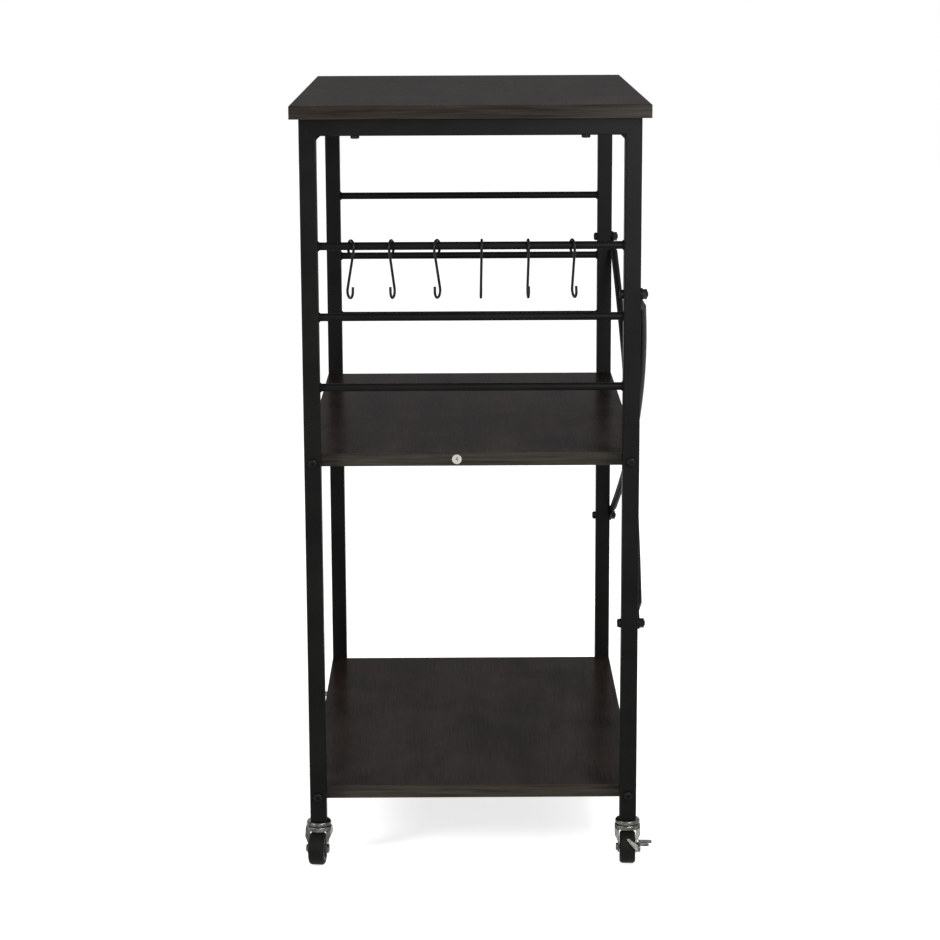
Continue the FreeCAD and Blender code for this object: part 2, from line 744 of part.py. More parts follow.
def make_barrel_nuts():
    body = new_body("barrel_nut")
    face = new_sketch(body, "XY", "face")
    circle(face, "0", "0", "$barrel_diameter / 2")
    pad(body, face, "$barrel_length", symmetric=True)
    cross = new_sketch(body, "XZ", "cross")
    circle(cross, "0", "0", "#bolt_radius + $thread_play")
    pocket(body, cross)
    spots = []
    for end, side in CORNERS:
        for level in ("middle", "bottom"):
            x = SIDES[side] + "#post_x"
            spots.append((x, ENDS[end] + "#barrel_y", f"#{level}_bolt_height"))
    return group("shelf_barrel_nuts", body, spots)


def brace_spots(x):
    """The four places where a brace bolt crosses a right post."""
    heights = ("#brace_upper_height", "$brace_lower_height")
    return [(x, y + "#post_y", z, "0", "90", "0") for y in ENDS.values() for z in heights]


def make_brace_bolts():
    length = "$tube_size + $brace_flat_thickness + $nut_height + $bolt_tip"
    head = ("$bolt_head_diameter", "$brace_head_height", "$bolt_head_round")
    bolt = make_bolt("brace_bolt", *head, "$bolt_diameter", length)
    cut_socket(bolt, "$brace_head_height")
    return group("brace_bolts", bolt, brace_spots("#post_inner_x"))


def make_brace_nuts():
    nut = make_nut("brace_nut", "$nut_width", "$nut_height", "#bolt_radius + $thread_play")
    return group("brace_nuts", nut, brace_spots("#frame_half_width + $brace_flat_thickness"))


def make_worktop_screws():
    length = "$tube_size + $screw_bite"
    head = ("$screw_head_diameter", "$screw_head_height", "$screw_head_round")
    screw = make_bolt("worktop_screw", *head, "$screw_diameter", length)
    cut_cross(screw, "$screw_head_height")
    sides = [f"{side}$screw_spacing / 2" for side in ("-", "+")]
    spots = [(x, y + "#post_y", "#rail_bottom") for x in sides for y in ENDS.values()]
    return group("worktop_screws", screw, spots)


keep(make_shelf_bolts())
keep(make_barrel_nuts())
keep(make_brace_bolts())
keep(make_brace_nuts())
keep(make_worktop_screws())


# Casters, each modelled about its swivel axis with the wheel trailing towards local -Y.
def on_posts(z, x="0", y="0"):
    """A spot at every post, offset along X and Y."""
    return [(f"{SIDES[side]}#post_x + {x}", f"{ENDS[end]}#post_y + {y}", z) for end, side in CORNERS]


def on_caster(item, end, side, x="0", y="0", z="0", pitch="0"):
    """Place an object given in the frame of one caster, turned with its swivel."""
    yaw = f"${end}_{side}_swivel"
    east = f"{SIDES[side]}#post_x + ({x}) * cos({yaw}) - ({y}) * sin({yaw})"
    north = f"{ENDS[end]}#post_y + ({x}) * sin({yaw}) + ({y}) * cos({yaw})"
    place(item, east, north, z, yaw, pitch, "0")
    return item


def make_plugs():
    body = new_body("post_end_plug")
    section = new_sketch(body, "XY", "section")
    side = "#tube_bore_half - $plug_play"
    rectangle(section, side, side)
    circle(section, "0", "0", "#stem_radius + $thread_play")
    pad(body, section, "$plug_length")
    return group("post_end_plugs", body, on_posts("$caster_height"))


def make_stems():
    """Pin with its head under the fork's roof and its thread up in the post's plug."""
    head = ("$stem_head_diameter", "$stem_head_height", "$stem_head_height / 2")
    length = "$caster_height + $stem_reach - #fork_roof + $swivel_play"
    stem = make_bolt("caster_stem", *head, "$stem_diameter", length)
    return group("caster_stems", stem, on_posts("#fork_roof - $swivel_play"))


def make_races():
    body = new_body("caster_upper_race")
    profile = new_sketch(body, "XZ", "profile")
    bore = "#stem_radius + $thread_play"
    skirt = "$caster_height - $race_skirt"
    corners = [(bore, "$caster_height"), ("#race_radius", "$caster_height", "$race_round")]
    corners += [("#race_radius", skirt), ("#race_bore", skirt)]
    corners += [("#race_bore", "#race_ceiling"), (bore, "#race_ceiling")]
    outline(profile, corners)
    revolve(body, profile)
    return group("caster_upper_races", body, on_posts("0"))


def make_balls():
    ball = doc.addObject("Part::Sphere", "caster_ball")
    bind(ball, "Radius", "$ball_diameter / 2")
    spots = []
    for step in range(int(value_of("$ball_count"))):
        turn = f"360 * {step} / $ball_count"
        around = (f"#ball_ring * cos({turn})", f"#ball_ring * sin({turn})")
        spots += on_posts("#ball_height", *around)
    return group("caster_balls", ball, spots)


keep(make_plugs())
keep(make_stems())
keep(make_races())
keep(make_balls())


def hollow_behind_lip(body, low):
    """Clear the fork behind the lip that its sheet turns in along the leaning front edge."""
    hollow = new_sketch(body, "XZ", "hollow")
    reach = "($fork_shoulder_radius - $fork_sheet)"
    foot = f"(#fork_shoulder + {reach} * sin(#fork_lean))"
    spot = f"vector(0; {foot}; {reach} * cos(#fork_lean))"
    bind(hollow, "AttachmentOffset", f"placement({spot}; rotation(0; 0; -#fork_lean))")
    levels = [("#fork_leg_bore", low), ("#fork_leg_bore", "#slope_start"), ("#fork_cup_bore", "#slope_end")]
    levels += [("#fork_cup_bore", "#fork_roof")]
    right = [(x, f"({z} - {foot}) / cos(#fork_lean)") for x, z in levels]
    outline(hollow, right + [("-" + x, z) for x, z in reversed(right)])
    feature = body.newObject("PartDesign::Pocket", hollow.Name + "_cut")
    feature.Profile = hollow
    feature.Type = "ThroughAll"
    feature.UseCustomVector = True
    feature.Direction = V(0, 1, 0)


def make_fork(end, side, braked):
    """Pressed steel fork: a round cup with two lipped legs that lean in towards the axle."""
    body = new_body(f"{end}_{side}_fork")
    eye = ("-$wheel_trail", "#axle_height", "$fork_eye_radius")
    legs = new_sketch(body, "YZ", "legs")
    band(legs, [eye, ("0", "#fork_shoulder", "$fork_shoulder_radius")])
    pad(body, legs, "$fork_width", symmetric=True)
    sides = new_sketch(body, "XZ", "sides")
    low = "#axle_height - $fork_eye_radius - $cut_margin"
    for sign in ("-", "+"):
        leg = sign + "#fork_leg_half"
        far = f"{sign}(#fork_half + $cut_margin)"
        corners = [(leg, low), (far, low), (far, "#slope_end")]
        outline(sides, corners + [(sign + "#fork_half", "#slope_end"), (leg, "#slope_start")])
    pocket(body, sides)
    skirt = "#fork_top - $fork_skirt"
    arch = new_sketch(body, "XZ", "arch")
    right = [("#fork_leg_bore", low), ("#fork_leg_bore", skirt, "$fork_arch_round")]
    outline(arch, right + [("-#fork_leg_bore", skirt, "$fork_arch_round"), ("-#fork_leg_bore", low)])
    pocket(body, arch)
    hollow_behind_lip(body, low)
    crown = new_sketch(body, "XY", "crown", "#fork_roof")
    circle(crown, "0", "0", "#fork_cup_bore")
    pocket(body, crown, "$fork_skirt - $fork_sheet")
    cup = new_sketch(body, "XZ", "cup")
    corners = [("0", "#fork_top"), ("#fork_half", "#fork_top", "$fork_round")]
    corners += [("#fork_half", skirt), ("#fork_cup_bore", skirt)]
    outline(cup, corners + [("#fork_cup_bore", "#fork_roof"), ("0", "#fork_roof")])
    revolve(body, cup)
    bore = new_sketch(body, "XY", "bore")
    circle(bore, "0", "0", "#stem_radius + $running_play")
    pocket(body, bore)
    if braked:
        ear = new_sketch(body, "YZ", "ear", "#fork_leg_bore")
        band(ear, [eye, ("#brake_y", "#brake_z", "$brake_eye_radius")])
        pad(body, ear, "$fork_sheet")
        pivot = new_sketch(body, "YZ", "pivot")
        circle(pivot, "#brake_y", "#brake_z", "$brake_stud_diameter / 2 + $thread_play")
        pocket(body, pivot)
    axle = new_sketch(body, "YZ", "axle")
    circle(axle, "-$wheel_trail", "#axle_height", "$axle_diameter / 2 + $thread_play")
    pocket(body, axle)
    return on_caster(body, end, side)


def make_axle_bolt(end, side):
    head = ("$axle_head_diameter", "$axle_head_height", "$axle_head_round")
    length = "$fork_leg_width + $axle_nut_height + $axle_tip"
    body = make_bolt(f"{end}_{side}_axle_bolt", *head, "$axle_diameter", length)
    return on_caster(body, end, side, "-#fork_leg_half", "-$wheel_trail", "#axle_height", "90")


def make_axle_nut(end, side):
    bore = "$axle_diameter / 2 + $thread_play"
    body = make_nut(f"{end}_{side}_axle_nut", "$axle_nut_width", "$axle_nut_height", bore)
    return on_caster(body, end, side, "#fork_leg_half", "-$wheel_trail", "#axle_height", "90")


def make_tyre(end, side):
    body = new_body(f"{end}_{side}_tyre")
    profile = new_sketch(body, "XZ", "profile")
    half = "$tread_width / 2"
    corners = [("-" + half, "$hub_diameter / 2"), ("-" + half, "#axle_height", "$tread_round")]
    corners += [(half, "#axle_height", "$tread_round"), (half, "$hub_diameter / 2")]
    outline(profile, corners)
    revolve(body, profile, "H_Axis")
    return on_caster(body, end, side, "0", "-$wheel_trail", "#axle_height")


def make_hub(end, side):
    """Hub with a rim, a recessed web and a boss that reaches the fork's legs."""
    body = new_body(f"{end}_{side}_hub")
    profile = new_sketch(body, "XZ", "profile")
    boss = "(#fork_leg_bore - $hub_side_gap)"
    web = "($tread_width / 2 - $hub_recess)"
    bore = "$axle_diameter / 2 + $running_play"
    rim = "$hub_diameter / 2 - $hub_rim"
    right = [(boss, bore), (boss, "$hub_boss_diameter / 2"), (web, "$hub_boss_diameter / 2")]
    right += [(web, rim), ("$tread_width / 2", rim), ("$tread_width / 2", "$hub_diameter / 2")]
    left = [("-" + x, z) for x, z in reversed(right)]
    outline(profile, right + left)
    revolve(body, profile, "H_Axis")
    return on_caster(body, end, side, "0", "-$wheel_trail", "#axle_height")


def make_brake_stud(end, side):
    """Riveted stud: through the leg, a collar, through the lever, and a head."""
    body = new_body(f"{end}_{side}_brake_stud")
    profile = new_sketch(body, "XZ", "profile")
    shaft = "$brake_stud_diameter / 2"
    collar = "$brake_collar_diameter / 2"
    collar_end = "#brake_plate_in - $swivel_play"
    head = "#brake_plate_out + $swivel_play"
    corners = [("#fork_leg_bore", "0"), ("#fork_leg_bore", shaft), ("#fork_leg_half", shaft)]
    corners += [("#fork_leg_half", collar), (collar_end, collar), (collar_end, shaft)]
    corners += [(head, shaft), (head, "$brake_head_diameter / 2")]
    corners += [(head + " + $brake_head_height", "$brake_head_diameter / 2")]
    corners += [(head + " + $brake_head_height", "0")]
    outline(profile, corners)
    revolve(body, profile, "H_Axis")
    return on_caster(body, end, side, "0", "#brake_y", "#brake_z")


def make_brake_lever(end, side):
    """Pressed lever: a cheek on the stud, a tongue over the tread and two foot tabs."""
    body = new_body(f"{end}_{side}_brake_lever")
    eye = ("#brake_y", "#brake_z", "$brake_eye_radius")
    cheek = new_sketch(body, "YZ", "cheek", "#brake_plate_in")
    band(cheek, [eye, ("#cheek_y", "#cheek_z", "$brake_cheek_radius")])
    pad(body, cheek, "$brake_sheet")
    arm = new_sketch(body, "YZ", "arm", "#brake_plate_in")
    start = "#brake_y + $lock_tab_start"
    band(arm, [eye, (f"{start} + $brake_tab_root", "#brake_tab_height", "$brake_tab_root")])
    pad(body, arm, "$brake_sheet")
    tongue = new_sketch(body, "XZ", "tongue")
    tongue.AttachmentOffset = FreeCAD.Placement(V(), FreeCAD.Rotation(V(1, 0, 0), -1))
    bind(tongue, "AttachmentOffset.Rotation.Angle", "-$brake_tongue_angle")
    bind(tongue, "AttachmentOffset.Base.y", "#tongue_z")
    bind(tongue, "AttachmentOffset.Base.z", "-#tongue_y")
    root = ("#brake_plate_out - $brake_tongue_root", "-$brake_tongue_root_drop", "$brake_tongue_root")
    tip = ("$brake_tongue_tip_side", "$brake_tongue_tip_rise", "$brake_tongue_tip")
    band(tongue, [root, tip])
    pad(body, tongue, "$brake_sheet", symmetric=True)
    half_sheet = "$brake_sheet / 2"
    lock_end = f"{start} + $lock_tab_length"
    release = "#brake_y - $release_tab_start"
    release_end = f"{release} - $release_tab_length"
    tabs = {"lock": (start, lock_end), "release": (release_end, release)}
    for name, (near, far) in tabs.items():
        tab = new_sketch(body, "YZ", name, "#brake_plate_in")
        under = f"#brake_tab_height - {half_sheet}"
        over = f"#brake_tab_height + {half_sheet}"
        outline(tab, [(near, under), (far, under), (far, over), (near, over)])
        pad(body, tab, f"$brake_sheet + ${name}_tab_reach")
    hole = new_sketch(body, "YZ", "hole")
    circle(hole, "#brake_y", "#brake_z", "$brake_stud_diameter / 2 + $running_play")
    pocket(body, hole)
    return on_caster(body, end, side)


BRAKED = (("front", "right"), ("back", "left"))

for end, side in CORNERS:
    braked = (end, side) in BRAKED
    keep(make_fork(end, side, braked))
    keep(make_axle_bolt(end, side))
    keep(make_axle_nut(end, side))
    keep(make_tyre(end, side))
    keep(make_hub(end, side))
    if braked:
        keep(make_brake_stud(end, side))
        keep(make_brake_lever(end, side))


# Hooks and sticker.
def tangent_wire(sketch, pieces):
    """Chain of wire pieces, each given with the ends where it starts and stops."""
    ids = [sketch.addGeometry(shape, False) for shape, first, last in pieces]
    for index in range(len(pieces) - 1):
        last = pieces[index][2]
        first = pieces[index + 1][1]
        joint = Sketcher.Constraint("Tangent", ids[index], last, ids[index + 1], first)
        sketch.addConstraint(joint)
    return ids


def make_hook(number):
    """S-shaped wire hook in local YZ, hung on the rod whose axis is local X."""
    body = new_body(f"hook_{number}")
    top = V(0, value_of("#hook_top_centre"), 0)
    bottom = V(0, value_of("#hook_bottom_centre"), 0)
    slant = math.radians(value_of("#hook_slant"))
    across = V(-math.cos(slant), -math.sin(slant), 0)
    leave = top + across * value_of("$hook_top_radius")
    meet = bottom - across * value_of("$hook_bottom_radius")
    apex = V(0, value_of("#hook_apex"), 0)
    rise = bottom + V(-value_of("$hook_bottom_radius"), 0, 0)
    tip = V(rise.x, value_of("#hook_tip"), 0)
    section = new_sketch(body, "XZ", "section")
    circle(section, "0", "#hook_apex", "#hook_wire_radius")
    shank = new_sketch(body, "YZ", "shank")
    over = arc_between(top, value_of("$hook_top_radius"), apex, leave)
    under = arc_between(bottom, value_of("$hook_bottom_radius"), rise, meet)
    pieces = [(over, 1, 2), (Part.LineSegment(leave, meet), 1, 2)]
    pieces += [(under, 2, 1), (Part.LineSegment(rise, tip), 1, 2)]
    ids = tangent_wire(shank, pieces)
    fix_point(shank, ids[0], 3, "0", "#hook_top_centre")
    fix_point(shank, ids[0], 1, "0", "#hook_apex")
    fix_point(shank, ids[2], 3, "0", "#hook_bottom_centre")
    fix_radius(shank, ids[2], "$hook_bottom_radius")
    fix_point(shank, ids[3], 2, "-$hook_bottom_radius", "#hook_tip")
    end = new_sketch(body, "YZ", "end")
    reach = value_of("$hook_top_radius")
    turn = math.radians(value_of("#hook_end_angle"))
    stop = top + V(reach * math.cos(turn), -reach * math.sin(turn), 0)
    arc = end.addGeometry(arc_between(top, reach, stop, apex), False)
    fix_point(end, arc, 3, "0", "#hook_top_centre")
    fix_point(end, arc, 2, "0", "#hook_apex")
    fix_distance(end, "DistanceY", arc, 1, "#hook_top_centre - $hook_end_drop")
    for spine in (shank, end):
        wire = body.newObject("PartDesign::AdditivePipe", spine.Name + "_wire")
        wire.Profile = section
        wire.Spine = spine
    spot = (f"$hook_{number}_share * #post_inner_x", "-#post_y", "#upper_rod_height")
    place(body, *spot, f"$hook_{number}_turn", f"-$hook_{number}_lean")
    return body


def make_sticker():
    body = new_body("shelf_sticker")
    face = new_sketch(body, "XZ", "face", "#shelf_half_length")
    circle(face, "$sticker_place", "#middle_bolt_height", "$sticker_diameter / 2")
    pad(body, face, "$sticker_thickness")
    return body


for number in range(1, 7):
    keep(make_hook(number))
keep(make_sticker())


def check_and_write():
    """Stop on a failed object, then write one file per node."""
    doc.recompute()
    for item in doc.Objects:
        if "Invalid" in item.State or "Error" in item.State:
            raise RuntimeError(f"{item.Name} failed: {item.State}")
    os.makedirs("parts", exist_ok=True)
    for item in nodes:
        if item.Shape.isNull() or not item.Shape.isValid():
            raise RuntimeError(f"{item.Label} has no valid shape")
        item.Shape.exportStep(f"parts/{item.Label}.step")
        print(item.Label, len(item.Shape.Solids), round(item.Shape.Volume, 1), item.Shape.BoundBox)


check_and_write()
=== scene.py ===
"""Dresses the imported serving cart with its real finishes, welds, ribs and studio."""

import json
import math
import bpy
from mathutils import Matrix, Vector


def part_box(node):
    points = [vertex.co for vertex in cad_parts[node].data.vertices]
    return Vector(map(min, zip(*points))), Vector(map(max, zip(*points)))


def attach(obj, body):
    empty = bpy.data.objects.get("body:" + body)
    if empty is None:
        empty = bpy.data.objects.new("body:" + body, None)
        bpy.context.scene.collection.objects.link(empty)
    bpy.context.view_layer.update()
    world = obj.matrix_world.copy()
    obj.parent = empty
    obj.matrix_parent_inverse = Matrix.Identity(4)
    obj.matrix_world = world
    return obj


bl_info = {
    "name": "Serving Cart Dressing",
    "version": (1, 0, 0),
    "blender": (4, 5, 0),
    "location": "3D View > Sidebar > Serving Cart",
    "description": "Gives a serving cart its board, steel, rubber and paper finishes and a plain studio",
    "category": "Object",
}

import bpy
from bpy.props import FloatProperty, FloatVectorProperty, IntProperty, PointerProperty, StringProperty
from mathutils import Matrix, Vector

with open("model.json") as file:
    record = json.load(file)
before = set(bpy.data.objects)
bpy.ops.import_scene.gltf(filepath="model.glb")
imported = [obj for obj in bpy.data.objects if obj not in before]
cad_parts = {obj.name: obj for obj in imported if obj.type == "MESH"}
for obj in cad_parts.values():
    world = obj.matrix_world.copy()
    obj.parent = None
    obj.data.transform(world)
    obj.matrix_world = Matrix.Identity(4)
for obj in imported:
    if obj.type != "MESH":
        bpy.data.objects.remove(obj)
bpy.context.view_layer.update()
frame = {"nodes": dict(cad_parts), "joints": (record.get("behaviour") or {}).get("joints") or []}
NODES = frame["nodes"]

CORNERS = ("front_left", "front_right", "back_left", "back_right")
BOARDS = ("worktop", "middle_shelf", "bottom_shelf")
RODS = tuple(f"{end}_{level}_rod" for end in ("front", "back") for level in ("upper", "middle", "lower"))
BRACE = ("outer_brace_rod", "inner_brace_rod")
RAILS = ("front_top_rail", "back_top_rail")
POSTS = tuple(corner + "_post" for corner in CORNERS)
BLACK_FASTENERS = ("shelf_bolts", "brace_bolts", "brace_nuts", "worktop_screws")
HOOKS = tuple(f"hook_{number}" for number in range(1, 7))
MILLIMETRE = 0.001

# Each lamp: the setting that holds its power, its place and its diameter.
LAMPS = {
    "lamp_front_right": ("right_lamp", (0.72, -0.85, 1.15), 0.45),
    "lamp_front_left": ("left_lamp", (-1.0, -0.95, 0.7), 0.35),
    "lamp_front": ("front_lamp", (0.55, -1.6, 0.95), 0.35),
    "lamp_back": ("back_lamp", (0.9, 1.7, 0.8), 0.6),
}
LAMP_AIM = (0.0, 0.0, 0.45)
FILM_WIDTH = 36.0
FLOOR_SIDES = 96
WHITE = (1.0, 1.0, 1.0, 1.0)
TYPE_PER_DIGIT = 1.4  # the font's size over the height of its digits

# Dark lines on the boards and the frame, as linear light.
GLUE_COLOUR = (0.004, 0.004, 0.004, 1.0)
SEAM_COLOUR = (0.0025, 0.0025, 0.0023, 1.0)

# Tones of the small finishes, and of the worn, dusty or uneven patches in the others, as sRGB codes.
BLACK_ZINC = "#0b0b0c"
RUBBED_ZINC = "#19191a"
BEARING_STEEL = "#b9b8b3"
GREASE_SMEAR = "#8e897a"
RUBBER_DUST = "#21201f"
HUB_FLOW = "#2e2e2d"
PLUG_PLASTIC = "#171717"
PLUG_SCUFF = "#2b2b2a"
PAINT_RUN = "#141414"
PAPER_GRUB = "#a9a59b"
FADED_INK = "#66635f"


# Colours, nodes and materials.
def linear(code):
    """The linear red, green and blue of an sRGB hex colour."""
    parts = [int(code[start:start + 2], 16) / 255 for start in (1, 3, 5)]
    return tuple(part / 12.92 if part <= 0.04045 else ((part + 0.055) / 1.055) ** 2.4 for part in parts)


def colour(name, description, code):
    """A colour setting with an sRGB hex default."""
    return FloatVectorProperty(name=name, description=description, default=linear(code), subtype="COLOR",
                               min=0.0, max=1.0)


def length(name, description, millimetres):
    """A length setting whose default is given in millimetres."""
    return FloatProperty(name=name, description=description, default=millimetres * MILLIMETRE,
                         unit="LENGTH")


def fill(tree, node, inputs):
    """Set a node's inputs to values, or link them where the value is another node's socket."""
    for key, value in inputs.items():
        if isinstance(value, bpy.types.NodeSocket):
            tree.links.new(value, node.inputs[key])
        else:
            node.inputs[key].default_value = value


def add_node(tree, kind, inputs=None, **settings):
    """Add one node with its settings and its inputs."""
    node = tree.nodes.new(kind)
    for name, value in settings.items():
        setattr(node, name, value)
    fill(tree, node, inputs or {})
    return node


def rgba(value):
    """A colour with full opacity."""
    return (value[0], value[1], value[2], 1.0)


def shade(code):
    """An sRGB hex colour with full opacity."""
    return rgba(linear(code))


def new_finish(name):
    """An empty finish: the material, its node tree and its surface shader."""
    material = bpy.data.materials.new(name)
    material.use_nodes = True
    tree = material.node_tree
    tree.nodes.clear()
    shader = add_node(tree, "ShaderNodeBsdfPrincipled")
    add_node(tree, "ShaderNodeOutputMaterial", {"Surface": shader.outputs["BSDF"]})
    return material, tree, shader


def place_on_piece(tree):
    """The place on the piece, in metres in the shared frame."""
    return add_node(tree, "ShaderNodeTexCoord").outputs["Object"]


def noise(tree, point, size, stretch=(1.0, 1.0, 1.0), detail=3.0, roughness=0.5, distortion=0.0):
    """Noise whose blobs are about the given size in metres, drawn out along an axis by the stretch."""
    scale = tuple(1.0 / (size * along) for along in stretch)
    spot = add_node(tree, "ShaderNodeMapping", {"Vector": point, "Scale": scale})
    inputs = {"Vector": spot.outputs[0], "Scale": 1.0, "Detail": detail, "Roughness": roughness}
    return add_node(tree, "ShaderNodeTexNoise", dict(inputs, Distortion=distortion)).outputs["Fac"]


def spread(tree, value, low, high, to_low=0.0, to_high=1.0):
    """Stretch the part of a value between low and high to another range."""
    inputs = {"Value": value, "From Min": low, "From Max": high, "To Min": to_low, "To Max": to_high}
    return add_node(tree, "ShaderNodeMapRange", inputs).outputs[0]


def mixed(tree, share, first, second):
    """Blend two colours, each a colour or a socket."""
    return add_node(tree, "ShaderNodeMix", {0: share, 6: first, 7: second}, data_type="RGBA").outputs[2]


def maths(tree, operation, *values):
    """One maths node on values or sockets."""
    return add_node(tree, "ShaderNodeMath", dict(enumerate(values)), operation=operation).outputs[0]


def bumped(tree, height, distance, strength=1.0, under=None):
    """A normal bent by a height, on top of another normal where one is given."""
    inputs = {"Height": height, "Distance": distance, "Strength": strength}
    if under is not None:
        inputs["Normal"] = under
    return add_node(tree, "ShaderNodeBump", inputs).outputs["Normal"]


def dress(names, material):
    """Put a finish on every material slot of the named CAD nodes."""
    for name in names:
        for slot in NODES[name].material_slots:
            slot.material = material


# Geometry trees and the plain meshes that they leave.
def new_tree(name, kinds):
    """A geometry tree that takes points and the named sizes, each with its kind of socket.

    Returns the tree and its input sockets by name.
    """
    tree = bpy.data.node_groups.new(name, "GeometryNodeTree")
    tree.interface.new_socket("Points", in_out="INPUT", socket_type="NodeSocketGeometry")
    for label, kind in kinds.items():
        tree.interface.new_socket(label, in_out="INPUT", socket_type=kind)
    tree.interface.new_socket("Result", in_out="OUTPUT", socket_type="NodeSocketGeometry")
    entry = add_node(tree, "NodeGroupInput")
    return tree, entry.outputs


def close_tree(tree, geometry, material):
    """End a geometry tree with real geometry in one material."""
    real = add_node(tree, "GeometryNodeRealizeInstances", {"Geometry": geometry})
    inputs = {"Geometry": real.outputs[0], "Material": material}
    coated = add_node(tree, "GeometryNodeSetMaterial", inputs)
    add_node(tree, "NodeGroupOutput", {0: coated.outputs[0]})


def grow(name, points, tree, values, body):
    """Run a geometry tree on points, keep the result as a plain mesh and let it ride on a body."""
    start = bpy.data.meshes.new(name)
    start.from_pydata(points, [], [])
    piece = bpy.data.objects.new(name, start)
    bpy.context.scene.collection.objects.link(piece)
    modifier = piece.modifiers.new("Repeats", "NODES")
    modifier.node_group = tree
    for item in tree.interface.items_tree:
        if item.in_out == "INPUT" and item.name in values:
            modifier[item.identifier] = values[item.name]
    bpy.context.view_layer.update()
    ready = piece.evaluated_get(bpy.context.evaluated_depsgraph_get())
    plain = bpy.data.meshes.new_from_object(ready)
    piece.modifiers.remove(modifier)
    piece.data = plain
    plain.name = name
    if not plain.polygons:
        raise RuntimeError(f"{name} came out empty")
    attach(piece, body)
    return piece


# Settings that a user would change.
class CartStudio(bpy.types.PropertyGroup):
    focal_length: FloatProperty(name="Focal length", default=98.53, unit="CAMERA",
                                description="Lens that frames the cart as the photo does")
    camera_place: FloatVectorProperty(name="Camera place", description="Where the camera stands",
                                      default=(-0.01206, -3.1448, 1.066), subtype="TRANSLATION",
                                      unit="LENGTH")
    camera_pitch: FloatProperty(name="Camera pitch", description="How far the camera looks down",
                                default=-0.20617, unit="ROTATION")
    camera_yaw: FloatProperty(name="Camera yaw", description="How far the camera turns to the right",
                              default=0.00349, unit="ROTATION")
    camera_roll: FloatProperty(name="Camera roll", description="How far the camera leans",
                               default=-0.0043, unit="ROTATION")
    right_lamp: FloatProperty(name="Right lamp", description="Power of the soft lamp at the front right",
                              default=7.0, unit="POWER")
    left_lamp: FloatProperty(name="Left lamp", description="Power of the soft lamp at the front left",
                             default=8.0, unit="POWER")
    front_lamp: FloatProperty(name="Front lamp", default=25.0, unit="POWER",
                              description="Power of the small lamp before the cart's upper right")
    back_lamp: FloatProperty(name="Back lamp", description="Power of the soft lamp behind the cart",
                             default=9.0, unit="POWER")
    sky: FloatProperty(name="Room light", description="Strength of the even light of the white room",
                       default=0.31, min=0.0)
    floor_lift: FloatProperty(name="Floor lift", default=0.76, min=0.0,
                              description="Glow that makes the paper white to the eye")
    floor_radius: length("Floor radius", "Radius of the round white floor", 9000)
    floor_colour: colour("Floor colour", "Colour of the paper floor", "#fafaf8")


class CartBoards(bpy.types.PropertyGroup):
    grain_width: length("Grain width", "Width of one printed grain line", 1.6)
    figure_width: length("Figure width", "Width of the broad bands in the printed figure", 34)
    cloud_width: length("Cloud width", "Width of the soft lighter clouds in the print", 62)
    patch_width: length("Patch width", "Width of the warmer patches in the print", 90)
    pore_width: length("Pore width", "Width of the pressed pores", 0.5)
    streak_width: length("Streak width", "Width of the streaks in the edge band", 4)
    glue_width: length("Glue line", "Half the width of the glue line inside the band", 0.12)
    figure_share: FloatProperty(name="Figure share", description="Share of the broad bands in the grain",
                                default=0.35, min=0.0)
    line_share: FloatProperty(name="Line share", description="Share of the fine lines in the grain",
                              default=0.5, min=0.0)
    cloud_share: FloatProperty(name="Cloud share", description="Share of the soft clouds in the grain",
                               default=0.45, min=0.0)
    band_thickness: length("Band thickness", "Thickness of the plastic edge band", 1.0)
    dark: colour("Dark wood", "Darkest printed wood tone", "#110e0c")
    light: colour("Light wood", "Lightest printed wood tone", "#332b27")
    warm: colour("Warm tint", "Reddish tone of the broad figure", "#251c19")
    band_dark: colour("Dark band", "Darkest tone of the edge band", "#1e1916")
    band_light: colour("Light band", "Lightest streaks of the edge band", "#3c3731")
    # The shelves' band tones are lighter than the worktop's. This is painted light, for the stronger
    # light that falls on the lower bands.
    lit_shelf_band_dark: colour("Dark shelf band", "Darkest tone of the shelves' edge band", "#262220")
    lit_shelf_band_light: colour("Light shelf band", "Lightest streaks of the shelves' edge band", "#47433c")


class CartFrame(bpy.types.PropertyGroup):
    coat: colour("Coat", "Colour of the powder coat", "#0f0f0e")
    coat_thin: colour("Thin coat", "Colour where the coat is thinner", "#151514")
    peel_size: length("Orange peel", "Width of the coat's fine waves", 1.1)
    seam_width: length("Mitre seam", "Width of the groove along the ground mitre", 1.0)
    seam_drop: length("Seam drop", "How far the groove runs on below the rail", 0.4)
    bead_width: length("Bead width", "Width of the weld beads", 2.4)
    bead_inset: length("Bead inset", "How far a weld's middle lies inside the rod's end", 0.5)
    ripples: IntProperty(name="Ripples", description="Ripples of one weld around a rod", default=22,
                         min=6)
    seed: IntProperty(name="Seed", description="Seed of the uneven welds", default=4)


class CartCasters(bpy.types.PropertyGroup):
    # Both zinc colours are darker than bright zinc plate: painted shade for the darker surroundings it
    # would reflect. The duller patches are partly real dullness and partly painted dark reflections.
    zinc: colour("Zinc", "Colour of the bright zinc plate", "#5f605c")
    zinc_dull_and_shaded: colour("Dull zinc", "Colour of duller patches of zinc plate", "#3d3e3a")
    rubber: colour("Rubber", "Colour of the solid rubber tread", "#0e0e0c")
    nylon: colour("Hub", "Colour of the moulded hub", "#262626")
    rib_count: IntProperty(name="Hub ribs", description="Ribs on one face of a hub", default=8, min=3)
    rib_width: length("Rib width", "Thickness of one hub rib", 1.2)
    rib_ring: length("Rib ring", "Radius of the ring through the ribs' middles", 8.75)
    rib_length: length("Rib length", "Length of one hub rib", 6.2)
    rib_depth: length("Rib depth", "Depth of one hub rib along the axle", 1.6)
    rib_reach: length("Rib reach", "From the wheel's middle to a rib's middle, along the axle", 7.3)


class CartHooks(bpy.types.PropertyGroup):
    paint: colour("Hook paint", "Colour of the dipped hook paint", "#0c0c0c")


